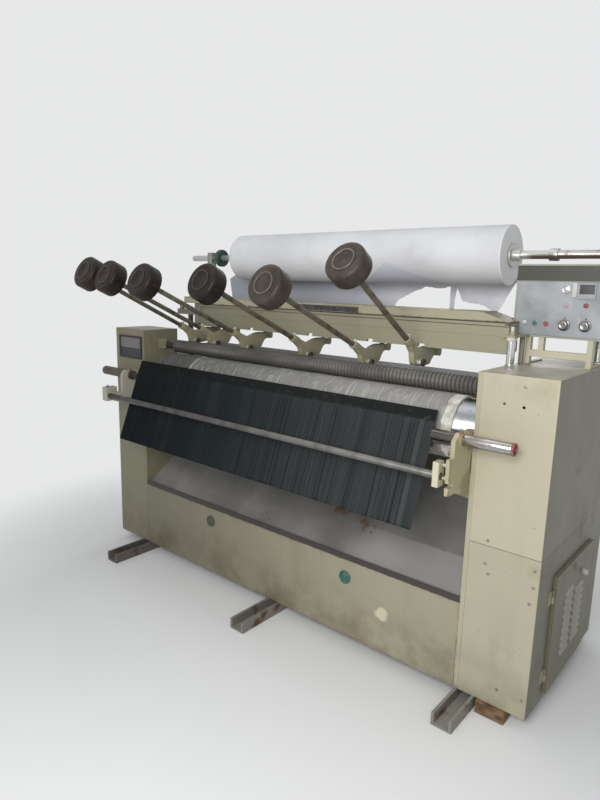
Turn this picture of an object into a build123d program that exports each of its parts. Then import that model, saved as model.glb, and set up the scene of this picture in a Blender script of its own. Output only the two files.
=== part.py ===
from build123d import *
from math import cos, radians, sin
import os

os.makedirs("parts", exist_ok=True)

# A cloth pleating machine: two end housings, a felt-covered drum with a grooved roller on it,
# six weight levers under a cross beam, a sloping chute with pleated cloth, and a paper roll.
# Millimetres. +X runs along the machine to its right, -Y is the front, +Z is up.
# The origin is on the floor, midway between the housings' outer sides and their front and rear.

# Overall sizes
machine_length = 2450
housing_depth = 776
skid_height = 50
left_end = -machine_length / 2
right_end = machine_length / 2
front = -housing_depth / 2
rear = housing_depth / 2
base = skid_height
sheet = 3
running_clearance = 0.05
rest_gap = 0.3

# Housings and side frames
right_housing_width = 274
left_housing_width = 263
frame_thickness = 18
cabinet_height = 598
right_housing_height = 1208
left_cabinet_height = 1040
left_box_height = 1217
left_box_depth = 229
corner_radius = 5
right_inner = right_end - right_housing_width
left_inner = left_end + left_housing_width
right_sheet_x = right_inner + frame_thickness
left_sheet_x = left_inner - frame_thickness
inner_length = right_inner - left_inner
seam_z = base + cabinet_height
right_top = base + right_housing_height
left_cabinet_top = base + left_cabinet_height
left_top = base + left_box_height
lower_top = min(left_top, right_top)

# Cross beam above the levers, carried on the right housing's top
beam_start = 113
beam_stop = 11
beam_setback = 262
beam_depth = 140
beam_wall = 10
beam_rise = 37
beam_height = 151
beam_lip = 5
beam_groove = 3
notch_width = 30
notch_height = 12
foot_flange_depth = 52
bracket_rise = 67
bracket_height = 8
bracket_overlap = 6
bracket_lead = 34
bracket_depth = 130
column_radius = 15
column_inset = 26
column_lead = 17
beam_left = left_inner + beam_start
beam_right = right_inner - beam_stop
beam_front = front + beam_setback
beam_rear = beam_front + beam_depth
beam_bottom = right_top + beam_rise
beam_top = beam_bottom + beam_height
bracket_bottom = beam_bottom + bracket_rise
bracket_front = beam_front - bracket_lead

# Lever pivots, and the pressure bar under the lever feet. The foot screws are longer by as much as
# the right housing is the higher one, so that the feet still reach the bar.
pivot_inset = 14
pivot_drop = 32
right_lever_insets = [358, 610]
middle_lever_x = -10
left_lever_insets = [447, 199, 41]
lever_lifts = [9.2, 0, 0.5, 0.3, 1, 1.8]
lever_thickness = 26
eye_radius = 14
pivot_pin_radius = 6
foot_drop = 69
foot_screw_length = 6
foot_screw_radius = 7
foot_y = -165
rod_elevation = 24
rod_radius = 11
socket_radius = 18
socket_depth = 5
socket_mouth = (-238, 20)
weight_starts = [470, 547, 541, 549, 557, 570]
weight_length = 75
weight_radius = 76
bar_height = 32
bar_width = 40
tray_thickness = 8
tray_reach = 218
bar_lead = 27
pivot_y = beam_rear - pivot_inset
pivot_z = beam_bottom - pivot_drop
lever_places = ([beam_right - inset for inset in right_lever_insets] + [middle_lever_x]
                + [beam_left + inset for inset in left_lever_insets])
foot_screw_reach = foot_screw_length + right_top - lower_top
bar_top = pivot_z - foot_drop - foot_screw_reach - rest_gap
bar_front = pivot_y + foot_y - bar_lead

# Drum and the grooved roller that rides on it, in front of the pressure bar
drum_setback = 120
drum_drop = 233
drum_radius = 112
drum_wall = 10
drum_end_gap = 4
drum_left_gap = 88
felt_thickness = 8
paper_thickness = 4
felt_clear = 83
felt_band = 40
journal_radius = 25
roller_radius = 34.6
roller_journal_radius = 15
roller_bar_gap = 6.4
groove_pitch = 17.1
groove_depth = 5
groove_width = 8
bush_wall = 12
bush_flange = 10
bush_flange_width = 8
drum_y = front + drum_setback
drum_z = lower_top - drum_drop
blanket_radius = drum_radius + felt_thickness + paper_thickness
felt_right = right_inner - drum_end_gap - felt_clear
roller_y = bar_front - roller_bar_gap - roller_radius
roller_lean = roller_y - drum_y
nip_distance = blanket_radius + rest_gap + roller_radius
roller_z = drum_z + (nip_distance**2 - roller_lean**2) ** 0.5

# Front brackets, rod and stubs
bracket_thickness = 16
left_bracket_inset = 33
stub_lead = 72
stub_rise = 4
right_stub_radius = 21
left_stub_radius = 24
rod_lead = 93
rod_drop = 114
front_rod_radius = 14
rod_block_width = 22
chute_pin_radius = 6
stub_y = front - stub_lead
stub_z = drum_z + stub_rise
rod_y = stub_y - rod_lead
rod_z = stub_z - rod_drop
left_plate_x = left_inner - left_bracket_inset
left_plate_right = left_plate_x + bracket_thickness
right_plate_x = right_inner - bracket_thickness

# Chute: its sloping front plane starts at the cloth's top edge, in front of the drum
chute_gap_left = 6
chute_gap_right = 122
chute_gap_drum = 12
chute_rise = 80
chute_slope = 70
chute_length = 438
chute_sheet = 3
cloth_depth = 12
pleat_pitch = 12
pleat_depth = 6
flat_band = 45
chute_left = left_plate_right + chute_gap_left
chute_right = right_plate_x - chute_gap_right
chute_top_y = drum_y - blanket_radius - chute_gap_drum
chute_top_z = drum_z + chute_rise

# Paper roll and its posts
roll_setback = 169
roll_rise = 228
roll_radius = 125
roll_left_inset = 458
roll_right_inset = 420
roll_bore = 30
shaft_radius = 17
post_radius = 16
right_post_inset = 44
left_post_inset = 190
bearing_half = 32
bearing_width = 40
wheel_radius = 50
wheel_width = 25
web_thickness = 1
roll_y = beam_rear + roll_setback
roll_z = beam_top + roll_rise
roll_left = left_end + roll_left_inset
roll_right = right_end - roll_right_inset
right_post_x = right_end - right_post_inset
left_post_x = left_end + left_post_inset

# Control box on its stand, beside the beam's right end
box_inset = 38
box_width = 332
box_overlap = 30
box_depth = 150
box_rise = 102
box_height = 270
face_width = 318
face_height = 200
face_inset = 7
box_sheet = 2.5
box_gap = 10
knob_radius = 21
button_radius = 9
button_stroke = 3
box_left = right_inner - box_inset
box_front = beam_rear - box_overlap
box_bottom = right_top + box_rise

# Louvred door on the right side
door_setback = 155
door_width = 445
door_sill = 30
door_height = 460
door_depth = 14
door_sheet = 2.5
door_lap = 12
hinge_barrel = 5
hinge_pin = 2.5
door_front = front + door_setback
door_rear = door_front + door_width
door_bottom = base + door_sill
door_top = door_bottom + door_height


# A plain block between two corners
def block(x0, x1, y0, y1, z0, z1, mode=Mode.ADD):
    with Locations(((x0 + x1) / 2, (y0 + y1) / 2, (z0 + z1) / 2)):
        Box(x1 - x0, y1 - y0, z1 - z0, mode=mode)


# A round bar along the machine
def bar_x(x0, x1, y, z, radius, mode=Mode.ADD):
    with Locations(Location(((x0 + x1) / 2, y, z), (0, 90, 0))):
        Cylinder(radius, x1 - x0, mode=mode)


# A round bar from front to rear
def bar_y(x, y0, y1, z, radius, mode=Mode.ADD):
    with Locations(Location((x, (y0 + y1) / 2, z), (90, 0, 0))):
        Cylinder(radius, y1 - y0, mode=mode)


# An upright round bar
def bar_z(x, y, z0, z1, radius, mode=Mode.ADD):
    with Locations((x, y, (z0 + z1) / 2)):
        Cylinder(radius, z1 - z0, mode=mode)


# Skids: three steel channels with their legs up, running from front to rear
skid_width = 80
skid_web = 8
skid_leg = 12
skid_reach = 30
left_skid_inset = 250
middle_skid_x = 20
right_skid_inset = 230
skid_leads = [235, 240, 180]
skid_rear = rear + skid_reach
skid_centres = [left_end + left_skid_inset, middle_skid_x, right_end - right_skid_inset]
skid_fronts = [front - lead for lead in skid_leads]
with BuildPart() as skids:
    for centre, skid_front in zip(skid_centres, skid_fronts):
        half = skid_width / 2
        block(centre - half, centre + half, skid_front, skid_rear, 0, skid_height)
        block(centre - half + skid_leg, centre + half - skid_leg, skid_front, skid_rear,
              skid_web, skid_height, Mode.SUBTRACT)
skids.part.label = "skids"
export_step(skids.part, "parts/skids.step")

# Wooden packer under the right front corner
packer_width = 110
packer_inset = 180
packer_lead = 14
packer_depth = 74
packer_left = right_end - packer_inset
packer_front = front - packer_lead
with BuildPart() as wood_packer:
    block(packer_left, packer_left + packer_width, packer_front, packer_front + packer_depth, 0, base)
wood_packer.part.label = "wood_packer"
export_step(wood_packer.part, "parts/wood_packer.step")

# Left side frame: a thick plate, higher at the front, with the bearing holes
left_outline = [
    (front, base), (rear, base), (rear, left_cabinet_top),
    (front + left_box_depth, left_cabinet_top), (front + left_box_depth, left_top), (front, left_top),
]
pad_size = 58
pad_shift = 2
pad_rise = 164
pad_thickness = 6
spare_hole_inset = 47
spare_hole_drop = 64
spare_hole_radius = 5
spare_hole_depth = 6
pad_y = drum_y + pad_shift
pad_z = drum_z + pad_rise
spare_hole_y = front + spare_hole_inset
spare_hole_z = left_top - spare_hole_drop
with BuildPart() as side_frame_left:
    with BuildSketch(Plane.YZ.offset(left_sheet_x)):
        with BuildLine():
            Polyline(*left_outline, close=True)
        make_face()
    extrude(amount=frame_thickness)
    block(left_inner, left_inner + pad_thickness, pad_y - pad_size / 2, pad_y + pad_size / 2,
          pad_z - pad_size / 2, pad_z + pad_size / 2)
    bar_x(left_sheet_x, left_inner, drum_y, drum_z, journal_radius + bush_wall, Mode.SUBTRACT)
    bar_x(left_sheet_x, left_inner + pad_thickness, roller_y, roller_z, roller_journal_radius + bush_wall,
          Mode.SUBTRACT)
    bar_x(left_inner - spare_hole_depth, left_inner, spare_hole_y, spare_hole_z, spare_hole_radius,
          Mode.SUBTRACT)
side_frame_left.part.label = "side_frame_left"
export_step(side_frame_left.part, "parts/side_frame_left.step")

# Right side frame: a thick plate whose front edge shows as a narrow strip
with BuildPart() as side_frame_right:
    block(right_inner, right_sheet_x, front, rear, base, right_top)
    bar_x(right_inner, right_sheet_x, drum_y, drum_z, journal_radius + bush_wall, Mode.SUBTRACT)
    bar_x(right_inner, right_sheet_x, roller_y, roller_z, roller_journal_radius + bush_wall, Mode.SUBTRACT)
side_frame_right.part.label = "side_frame_right"
export_step(side_frame_right.part, "parts/side_frame_right.step")

# Front panel: a folded sheet between the frames, with a flange at its top
panel_height = 345
panel_flange = 30
with BuildPart() as front_panel:
    block(left_inner, right_inner, front, front + sheet, base, base + panel_height)
    block(left_inner, right_inner, front, front + panel_flange, base + panel_height - sheet,
          base + panel_height)
    block(left_inner, right_inner, front, front + panel_flange, base, base + sheet)
front_panel.part.label = "front_panel"
export_step(front_panel.part, "parts/front_panel.step")

# Two round plugs on the front panel
plug_radius = 29
plug_height = 4
plug_boss_height = 2
plug_boss_radius = 17.4
left_plug_inset = 804
left_plug_drop = 69
right_plug_inset = 793
right_plug_drop = 79
panel_top = base + panel_height
plug_places = [(left_end + left_plug_inset, panel_top - left_plug_drop),
               (right_end - right_plug_inset, panel_top - right_plug_drop)]
with BuildPart() as panel_plugs:
    for plug_x, plug_z in plug_places:
        bar_y(plug_x, front - plug_height, front, plug_z, plug_radius)
        bar_y(plug_x, front - plug_height - plug_boss_height, front - plug_height, plug_z, plug_boss_radius)
panel_plugs.part.label = "panel_plugs"
export_step(panel_plugs.part, "parts/panel_plugs.step")

# Deck: a lip at the front, then a sheet that rises to the rear
deck_lip = 24
deck_start = 12
deck_slope = 33.8
deck_run = 430
deck_thickness = 4
lip_bottom = base + panel_height
deck_rise = deck_run * sin(radians(deck_slope)) / cos(radians(deck_slope))
deck_outline = [
    (front, lip_bottom),
    (front + deck_start, lip_bottom),
    (front + deck_start + deck_run, lip_bottom + deck_rise),
    (front + deck_start + deck_run, lip_bottom + deck_rise + deck_lip / 2),
    (front + deck_start, lip_bottom + deck_thickness * 2),
    (front + deck_start, lip_bottom + deck_lip),
    (front, lip_bottom + deck_lip),
]
with BuildPart() as deck:
    with BuildSketch(Plane.YZ.offset(left_inner)):
        with BuildLine():
            Polyline(*deck_outline, close=True)
        make_face()
    extrude(amount=inner_length)
deck.part.label = "deck"
export_step(deck.part, "parts/deck.step")

# Rear panel between the frames
rear_panel_height = 1000
with BuildPart() as rear_panel:
    block(left_inner, right_inner, rear - sheet, rear, base, base + rear_panel_height)
    block(left_inner, right_inner, rear - panel_flange, rear, base + rear_panel_height - sheet,
          base + rear_panel_height)
rear_panel.part.label = "rear_panel"
export_step(rear_panel.part, "parts/rear_panel.step")

# Left housing: one sheet shell with its raised front box, closed by the side frame
left_cavity = [
    (front + sheet, base + sheet), (rear - sheet, base + sheet),
    (rear - sheet, left_cabinet_top - sheet), (front + left_box_depth - sheet, left_cabinet_top - sheet),
    (front + left_box_depth - sheet, left_top - sheet), (front + sheet, left_top - sheet),
]
with BuildPart() as left_housing:
    with BuildSketch(Plane.YZ.offset(left_end)):
        with BuildLine():
            Polyline(*left_outline, close=True)
        make_face()
    extrude(amount=left_sheet_x - left_end)
    left_edges = left_housing.edges().filter_by(Axis.Z).group_by(Axis.X)[0]
    fillet(left_edges.group_by(Axis.Y)[0], corner_radius)
    with BuildSketch(Plane.YZ.offset(left_end + sheet)):
        with BuildLine():
            Polyline(*left_cavity, close=True)
        make_face()
    extrude(amount=left_sheet_x - left_end - sheet, mode=Mode.SUBTRACT)
left_housing.part.label = "left_housing"
export_step(left_housing.part, "parts/left_housing.step")

# Black-rimmed window on the left housing's front
window_inset = 40
window_drop = 37
window_height = 125
window_rim = 12
window_depth = 8
window_pane = 3
window_left = left_end + window_inset
window_right = left_sheet_x
window_bottom = left_top - window_drop - window_height
with BuildPart() as panel_window:
    block(window_left, window_right, front - window_depth, front, window_bottom,
          window_bottom + window_height)
    block(window_left + window_rim, window_right - window_rim, front - window_depth, front - window_pane,
          window_bottom + window_rim, window_bottom + window_height - window_rim, Mode.SUBTRACT)
panel_window.part.label = "panel_window"
export_step(panel_window.part, "parts/panel_window.step")

# Right lower cabinet: closed below, open to the frame and to the cover above
with BuildPart() as right_cabinet:
    block(right_sheet_x, right_end, front, rear, base, seam_z)
    fillet(right_cabinet.edges().filter_by(Axis.Z).group_by(Axis.X)[-1], corner_radius)
    block(right_sheet_x, right_end - sheet, front + sheet, rear - sheet, base + sheet, seam_z, Mode.SUBTRACT)
    block(right_end - sheet, right_end, door_front + door_lap, door_rear - door_lap,
          door_bottom + door_lap, door_top - door_lap, Mode.SUBTRACT)
right_cabinet.part.label = "right_cabinet"
export_step(right_cabinet.part, "parts/right_cabinet.step")

# Right upper cover, open below, with one spare hole in its front
cover_hole_inset = 109
cover_hole_drop = 102
cover_hole_x = right_end - cover_hole_inset
cover_hole_z = right_top - cover_hole_drop
with BuildPart() as right_cover:
    block(right_sheet_x, right_end, front, rear, seam_z, right_top)
    fillet(right_cover.edges().filter_by(Axis.Z).group_by(Axis.X)[-1], corner_radius)
    block(right_sheet_x, right_end - sheet, front + sheet, rear - sheet, seam_z, right_top - sheet,
          Mode.SUBTRACT)
    bar_y(cover_hole_x, front, front + sheet, cover_hole_z, spare_hole_radius, Mode.SUBTRACT)
right_cover.part.label = "right_cover"
export_step(right_cover.part, "parts/right_cover.step")

# Door hinges: leaf, lower knuckle and pin
hinge_out = 6
hinge_ahead = 7
hinge_x = right_end + hinge_out
hinge_y = door_front - hinge_ahead
hinge_length = 50
hinge_inset = 50
hinge_leaf = 3
hinge_leaf_width = 30
hinge_play = 1
hinge_bottoms = [door_bottom + hinge_inset, door_top - hinge_inset - hinge_length]
with BuildPart() as door_hinges:
    for hinge_z in hinge_bottoms:
        block(right_end, right_end + hinge_leaf, hinge_y - hinge_leaf_width, hinge_y, hinge_z,
              hinge_z + hinge_length)
        bar_z(hinge_x, hinge_y, hinge_z, hinge_z + hinge_length / 2, hinge_barrel)
        bar_z(hinge_x, hinge_y, hinge_z, hinge_z + hinge_length, hinge_pin)
        bar_z(hinge_x, hinge_y, hinge_z + hinge_length / 2, hinge_z + hinge_length + hinge_play,
              hinge_barrel + rest_gap, Mode.SUBTRACT)
        bar_z(hinge_x, hinge_y, hinge_z + hinge_length / 2 - hinge_play, hinge_z + hinge_length, hinge_pin)
door_hinges.part.label = "door_hinges"
export_step(door_hinges.part, "parts/door_hinges.step")

# Door: a shallow pan with two columns of louvres, a lock and the upper knuckles
door_seal = 0.5
door_inner_x = right_end + door_seal
door_outer_x = door_inner_x + door_depth
door_plate_x = door_outer_x - door_sheet
knob_inset = 121
knob_drop = 93
latch_radius = 4
louvre_pitch = 30
louvre_slot = 8
louvre_reach = 7
louvre_lap = 2
louvre_rise = 12
lock_inset = 213
lock_drop = 32
lock_radius = 9
lock_height = 5
louvre_insets = [115, 235]
louvre_widths = [90, 105]
louvre_counts = [9, 8]
louvre_sill = 95
knob_y = door_rear - knob_inset
knob_z = door_top - knob_drop
lock_y = door_front + lock_inset
lock_z = door_top - lock_drop
louvre_bottom = door_bottom + louvre_sill
with BuildPart() as door:
    block(door_inner_x, door_outer_x, door_front, door_rear, door_bottom, door_top)
    block(door_inner_x, door_plate_x, door_front + door_sheet, door_rear - door_sheet,
          door_bottom + door_sheet, door_top - door_sheet, Mode.SUBTRACT)
    for louvre_inset, louvre_width, louvre_count in zip(louvre_insets, louvre_widths, louvre_counts):
        column_front = door_front + louvre_inset
        column_rear = column_front + louvre_width
        for step in range(louvre_count):
            slot_z = louvre_bottom + step * louvre_pitch
            hood = [
                (door_outer_x, slot_z + louvre_slot - louvre_lap),
                (door_outer_x + louvre_reach, slot_z + louvre_slot - louvre_lap),
                (door_outer_x, slot_z + louvre_slot + louvre_rise),
            ]
            with BuildSketch(Plane.XZ.offset(-column_rear)):
                with BuildLine():
                    Polyline(*hood, close=True)
                make_face()
            extrude(amount=column_rear - column_front)
            block(door_plate_x, door_outer_x, column_front + louvre_lap, column_rear - louvre_lap,
                  slot_z, slot_z + louvre_slot, Mode.SUBTRACT)
    bar_x(door_outer_x, door_outer_x + lock_height, lock_y, lock_z, lock_radius)
    for hinge_z in hinge_bottoms:
        knuckle_z = hinge_z + hinge_length / 2 + rest_gap
        bar_z(hinge_x, hinge_y, knuckle_z, hinge_z + hinge_length, hinge_barrel)
        block(hinge_x - hinge_leaf, hinge_x + hinge_leaf, hinge_y, door_front + door_sheet, knuckle_z,
              hinge_z + hinge_length)
        bar_z(hinge_x, hinge_y, knuckle_z, hinge_z + hinge_length, hinge_pin + running_clearance,
              Mode.SUBTRACT)
    bar_x(door_plate_x, door_outer_x, knob_y, knob_z, latch_radius + running_clearance, Mode.SUBTRACT)
door.part.label = "door"
export_step(door.part, "parts/door.step")

# Door knob with its stem and latch tongue behind the door's sheet
door_knob_radius = 13
door_knob_length = 20
door_knob_chamfer = 2
tongue_back = 5
tongue_thickness = 3
tongue_half = 6
tongue_reach = 28
with BuildPart() as door_knob:
    bar_x(door_outer_x + rest_gap, door_outer_x + door_knob_length, knob_y, knob_z, door_knob_radius)
    chamfer(door_knob.edges().filter_by(GeomType.CIRCLE).group_by(Axis.X)[-1], door_knob_chamfer)
    bar_x(door_plate_x - tongue_back, door_outer_x + 2 * rest_gap, knob_y, knob_z, latch_radius)
    block(door_plate_x - tongue_back, door_plate_x - tongue_back + tongue_thickness, knob_y - tongue_half,
          knob_y + tongue_half, knob_z - tongue_half, knob_z + tongue_reach)
door_knob.part.label = "door_knob"
export_step(door_knob.part, "parts/door_knob.step")

# Drum: a steel shell with end discs and journals
drum_left = left_inner + drum_left_gap
drum_right = right_inner - drum_end_gap
journal_spare = 12
journal_reach = frame_thickness + bush_flange_width + journal_spare
motor_reach = 120
felt_inset = 6
with BuildPart() as drum:
    bar_x(drum_left, drum_right, drum_y, drum_z, drum_radius)
    bar_x(drum_left + drum_wall, drum_right - drum_wall, drum_y, drum_z, drum_radius - drum_wall,
          Mode.SUBTRACT)
    bar_x(left_inner - journal_reach, drum_left + drum_wall, drum_y, drum_z, journal_radius)
    bar_x(drum_right - drum_wall, right_inner + motor_reach, drum_y, drum_z, journal_radius)
drum.part.label = "drum"
export_step(drum.part, "parts/drum.step")

# Felt blanket with the paper wrap that leaves a white band of felt at its right
with BuildPart() as drum_blanket:
    bar_x(drum_left + felt_inset, felt_right, drum_y, drum_z, drum_radius + felt_thickness)
    bar_x(drum_left + felt_inset, felt_right - felt_band, drum_y, drum_z, blanket_radius)
    bar_x(drum_left, drum_right, drum_y, drum_z, drum_radius, Mode.SUBTRACT)
drum_blanket.part.label = "drum_blanket"
export_step(drum_blanket.part, "parts/drum_blanket.step")

# Flanged bushes for the drum and the roller, pressed in the frames
bearing_places = [(drum_y, drum_z, journal_radius), (roller_y, roller_z, roller_journal_radius)]
with BuildPart() as shaft_bearings:
    for bore_y, bore_z, bore_radius in bearing_places:
        bush_radius = bore_radius + bush_wall
        bar_x(left_sheet_x, left_inner, bore_y, bore_z, bush_radius)
        bar_x(left_sheet_x - bush_flange_width, left_sheet_x, bore_y, bore_z, bush_radius + bush_flange)
        bar_x(right_inner, right_sheet_x, bore_y, bore_z, bush_radius)
        bar_x(right_sheet_x, right_sheet_x + bush_flange_width, bore_y, bore_z, bush_radius + bush_flange)
        bar_x(left_end, right_end, bore_y, bore_z, bore_radius + running_clearance, Mode.SUBTRACT)
shaft_bearings.part.label = "shaft_bearings"
export_step(shaft_bearings.part, "parts/shaft_bearings.step")

# Grooved roller: one turned outline, with a ring groove every pitch
roller_left_gap = 95
roller_right_gap = 6
first_groove = 12.8
roller_journal_spare = 4
roller_left = left_inner + roller_left_gap
roller_right = right_inner - roller_right_gap
journal_end = frame_thickness + bush_flange_width + roller_journal_spare
groove_count = int((roller_right - roller_left - groove_pitch) / groove_pitch)
roller_outline = [(left_inner - journal_end, 0), (left_inner - journal_end, roller_journal_radius),
                  (roller_left, roller_journal_radius), (roller_left, roller_radius)]
for step in range(groove_count):
    groove_x = roller_left + first_groove + groove_pitch * step
    roller_outline.append((groove_x, roller_radius))
    roller_outline.append((groove_x + groove_width / 2, roller_radius - groove_depth))
    roller_outline.append((groove_x + groove_width, roller_radius))
roller_outline += [(roller_right, roller_radius), (roller_right, roller_journal_radius),
                   (right_inner + journal_end, roller_journal_radius), (right_inner + journal_end, 0)]
with BuildPart() as grooved_roller:
    with BuildSketch(Plane(origin=(0, roller_y, roller_z), x_dir=(1, 0, 0), z_dir=(0, -1, 0))):
        with BuildLine():
            Polyline(*roller_outline, close=True)
        make_face()
    revolve(axis=Axis((0, roller_y, roller_z), (1, 0, 0)))
grooved_roller.part.label = "grooved_roller"
export_step(grooved_roller.part, "parts/grooved_roller.step")

# Pressure bar under the lever feet, between the frames, with a flat tray behind it
bar_chamfer = 3
with BuildPart() as pressure_bar:
    block(left_inner, right_inner, bar_front, bar_front + bar_width, bar_top - bar_height, bar_top)
    chamfer(pressure_bar.edges().filter_by(Axis.X).group_by(Axis.Z)[-1].sort_by(Axis.Y)[0], bar_chamfer)
    block(roller_left, right_inner, bar_front + bar_width - bar_chamfer, bar_front + bar_width + tray_reach,
          bar_top - tray_thickness, bar_top)
pressure_bar.part.label = "pressure_bar"
export_step(pressure_bar.part, "parts/pressure_bar.step")

# Gear motor on the drum's right journal
gearbox_half = 80
gearbox_width = 110
motor_radius = 65
motor_length = 220
motor_offset = 20
bush_room = 1
with BuildPart() as drive_motor:
    block(right_sheet_x, right_sheet_x + gearbox_width, drum_y - gearbox_half, drum_y + gearbox_half,
          drum_z - gearbox_half, drum_z + gearbox_half)
    bar_z(right_sheet_x + gearbox_width / 2 + motor_offset, drum_y, drum_z - gearbox_half - motor_length,
          drum_z - gearbox_half, motor_radius)
    bar_x(right_sheet_x, right_sheet_x + bush_flange_width + bush_room, drum_y, drum_z,
          journal_radius + bush_wall + bush_flange + bush_room, Mode.SUBTRACT)
    bar_x(right_sheet_x, right_sheet_x + gearbox_width, drum_y, drum_z, journal_radius + running_clearance,
          Mode.SUBTRACT)
drive_motor.part.label = "drive_motor"
export_step(drive_motor.part, "parts/drive_motor.step")

# The chute's own plane: across the machine, outward from the slope, and down the slope
slope_y = -cos(radians(chute_slope))
slope_z = -sin(radians(chute_slope))
chute_plane = Plane(origin=(0, chute_top_y, chute_top_z), x_dir=(1, 0, 0), z_dir=(0, slope_y, slope_z))
chute_width = chute_right - chute_left
pin_down = 110
pin_behind = 26
chute_pin_y = chute_top_y + pin_down * slope_y - pin_behind * slope_z
chute_pin_z = chute_top_z + pin_down * slope_z + pin_behind * slope_y
cloth_overhang = 8

# Chute plate with a lug and a pin behind each end
lug_width = 12
lug_half = 22
lug_back = 36
with BuildPart() as chute_plate:
    with BuildSketch(chute_plane):
        with Locations(((chute_left + chute_right) / 2, -cloth_depth - chute_sheet / 2)):
            Rectangle(chute_width, chute_sheet)
    extrude(amount=chute_length - cloth_overhang)
    for lug_x in (chute_left + lug_width / 2, chute_right - lug_width / 2):
        with BuildSketch(chute_plane.offset(pin_down - lug_half)):
            with Locations((lug_x, -(cloth_depth + lug_back) / 2)):
                Rectangle(lug_width, lug_back - cloth_depth)
        extrude(amount=2 * lug_half)
    bar_x(left_plate_x, chute_left + lug_width, chute_pin_y, chute_pin_z, chute_pin_radius)
    bar_x(chute_right - lug_width, right_inner, chute_pin_y, chute_pin_z, chute_pin_radius)
chute_plate.part.label = "chute_plate"
export_step(chute_plate.part, "parts/chute_plate.step")

# Pleated cloth: knife pleats of uneven width down the slope, flat along the top edge
pleat_count = int(chute_width / pleat_pitch)
pleat_edges = [chute_left + chute_width * (k + 0.3 * sin(2.4 * k) * sin(0.37 * k)) / pleat_count
               for k in range(pleat_count + 1)]
pleat_edges[0] = chute_left
pleat_edges[-1] = chute_right
pleat_outline = [(chute_right, -cloth_depth), (chute_left, -cloth_depth)]
for start, end in zip(pleat_edges, pleat_edges[1:]):
    pleat_outline.append((start, -pleat_depth))
    pleat_outline.append((start + 0.8 * (end - start), 0))
pleat_outline.append((chute_right, -pleat_depth))
with BuildPart() as pleated_cloth:
    with BuildSketch(chute_plane.offset(flat_band)):
        with BuildLine():
            Polyline(*pleat_outline, close=True)
        make_face()
    extrude(amount=chute_length - flat_band)
    with BuildSketch(chute_plane):
        with Locations(((chute_left + chute_right) / 2, -cloth_depth * 3 / 4)):
            Rectangle(chute_width, cloth_depth / 2)
    extrude(amount=flat_band)
pleated_cloth.part.label = "pleated_cloth"
export_step(pleated_cloth.part, "parts/pleated_cloth.step")

# Left bracket: a plate on the housing's front with a foot and a block for the front rod
left_block_reach = 92
left_block_width = 40
rod_seat = 10
rod_block_half = 20
foot_below_rod = 65
left_foot_below_rod = 27
foot_height = 48
foot_clear = 16
foot_inset = 120
left_block_rise = 47
plate_above_stub = 28
plate_ahead = 38
plate_nose = 20
plate_corner = 22
heel_fall = 60
left_block_x = left_plate_x - left_block_reach
left_block_top = rod_z + left_block_rise
foot_bottom = rod_z - left_foot_below_rod
foot_front = rod_y + foot_clear
foot_rear = front - foot_inset
plate_top = stub_z + plate_above_stub
left_plate_outline = [
    (front, plate_top), (stub_y - plate_ahead, plate_top), (stub_y - plate_ahead - plate_nose, plate_top - plate_corner),
    (stub_y - plate_ahead - plate_nose, foot_bottom), (front, foot_bottom - heel_fall),
]
with BuildPart() as bracket_left:
    with BuildSketch(Plane.YZ.offset(left_plate_x)):
        with BuildLine():
            Polyline(*left_plate_outline, close=True)
        make_face()
    extrude(amount=bracket_thickness)
    block(left_block_x, left_plate_right, foot_front, foot_rear, foot_bottom, foot_bottom + foot_height)
    block(left_block_x, left_block_x + left_block_width, rod_y - rod_block_half, foot_rear, foot_bottom,
          left_block_top)
    bar_x(left_plate_x, left_plate_right, stub_y, stub_z, left_stub_radius + running_clearance,
          Mode.SUBTRACT)
    bar_x(left_block_x + left_block_width - rod_seat, left_block_x + left_block_width, rod_y, rod_z,
          front_rod_radius + running_clearance, Mode.SUBTRACT)
    bar_x(left_plate_x, left_plate_right, chute_pin_y, chute_pin_z, chute_pin_radius + running_clearance,
          Mode.SUBTRACT)
bracket_left.part.label = "bracket_left"
export_step(bracket_left.part, "parts/bracket_left.step")

# Right bracket: a plate on the side frame with two noses at its front
sole_length = 55
nose_depth = 27
nose_rise = 61
slot_top_drop = 21
slot_bottom_drop = 37
heel_lead = 100
heel_drop = 70
tail_reach = 96
tail_drop = 153
tail_top_drop = 75
shoulder_reach = 60
shoulder_drop = 40
neck_lead = 7
neck_drop = 20
right_plate_outline = [
    (front - heel_lead, rod_z - heel_drop), (front + tail_reach, rod_z - tail_drop),
    (front + tail_reach, rod_z - tail_top_drop), (front + shoulder_reach, rod_z - shoulder_drop),
    (front - neck_lead, rod_z - neck_drop), (front - neck_lead, plate_top),
    (stub_y - plate_ahead, plate_top), (rod_y + nose_depth, plate_top - plate_corner),
    (rod_y + nose_depth, rod_z + nose_rise), (rod_y, rod_z + nose_rise), (rod_y, rod_z - slot_top_drop),
    (rod_y + nose_depth, rod_z - slot_top_drop), (rod_y + nose_depth, rod_z - slot_bottom_drop),
    (rod_y, rod_z - slot_bottom_drop), (rod_y, rod_z - foot_below_rod),
    (rod_y + sole_length, rod_z - foot_below_rod),
]
with BuildPart() as bracket_right:
    with BuildSketch(Plane.YZ.offset(right_plate_x)):
        with BuildLine():
            Polyline(*right_plate_outline, close=True)
        make_face()
    extrude(amount=bracket_thickness)
    bar_x(right_plate_x, right_inner, stub_y, stub_z, right_stub_radius + running_clearance, Mode.SUBTRACT)
    bar_x(right_plate_x, right_inner, chute_pin_y, chute_pin_z, chute_pin_radius + running_clearance,
          Mode.SUBTRACT)
bracket_right.part.label = "bracket_right"
export_step(bracket_right.part, "parts/bracket_right.step")

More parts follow.
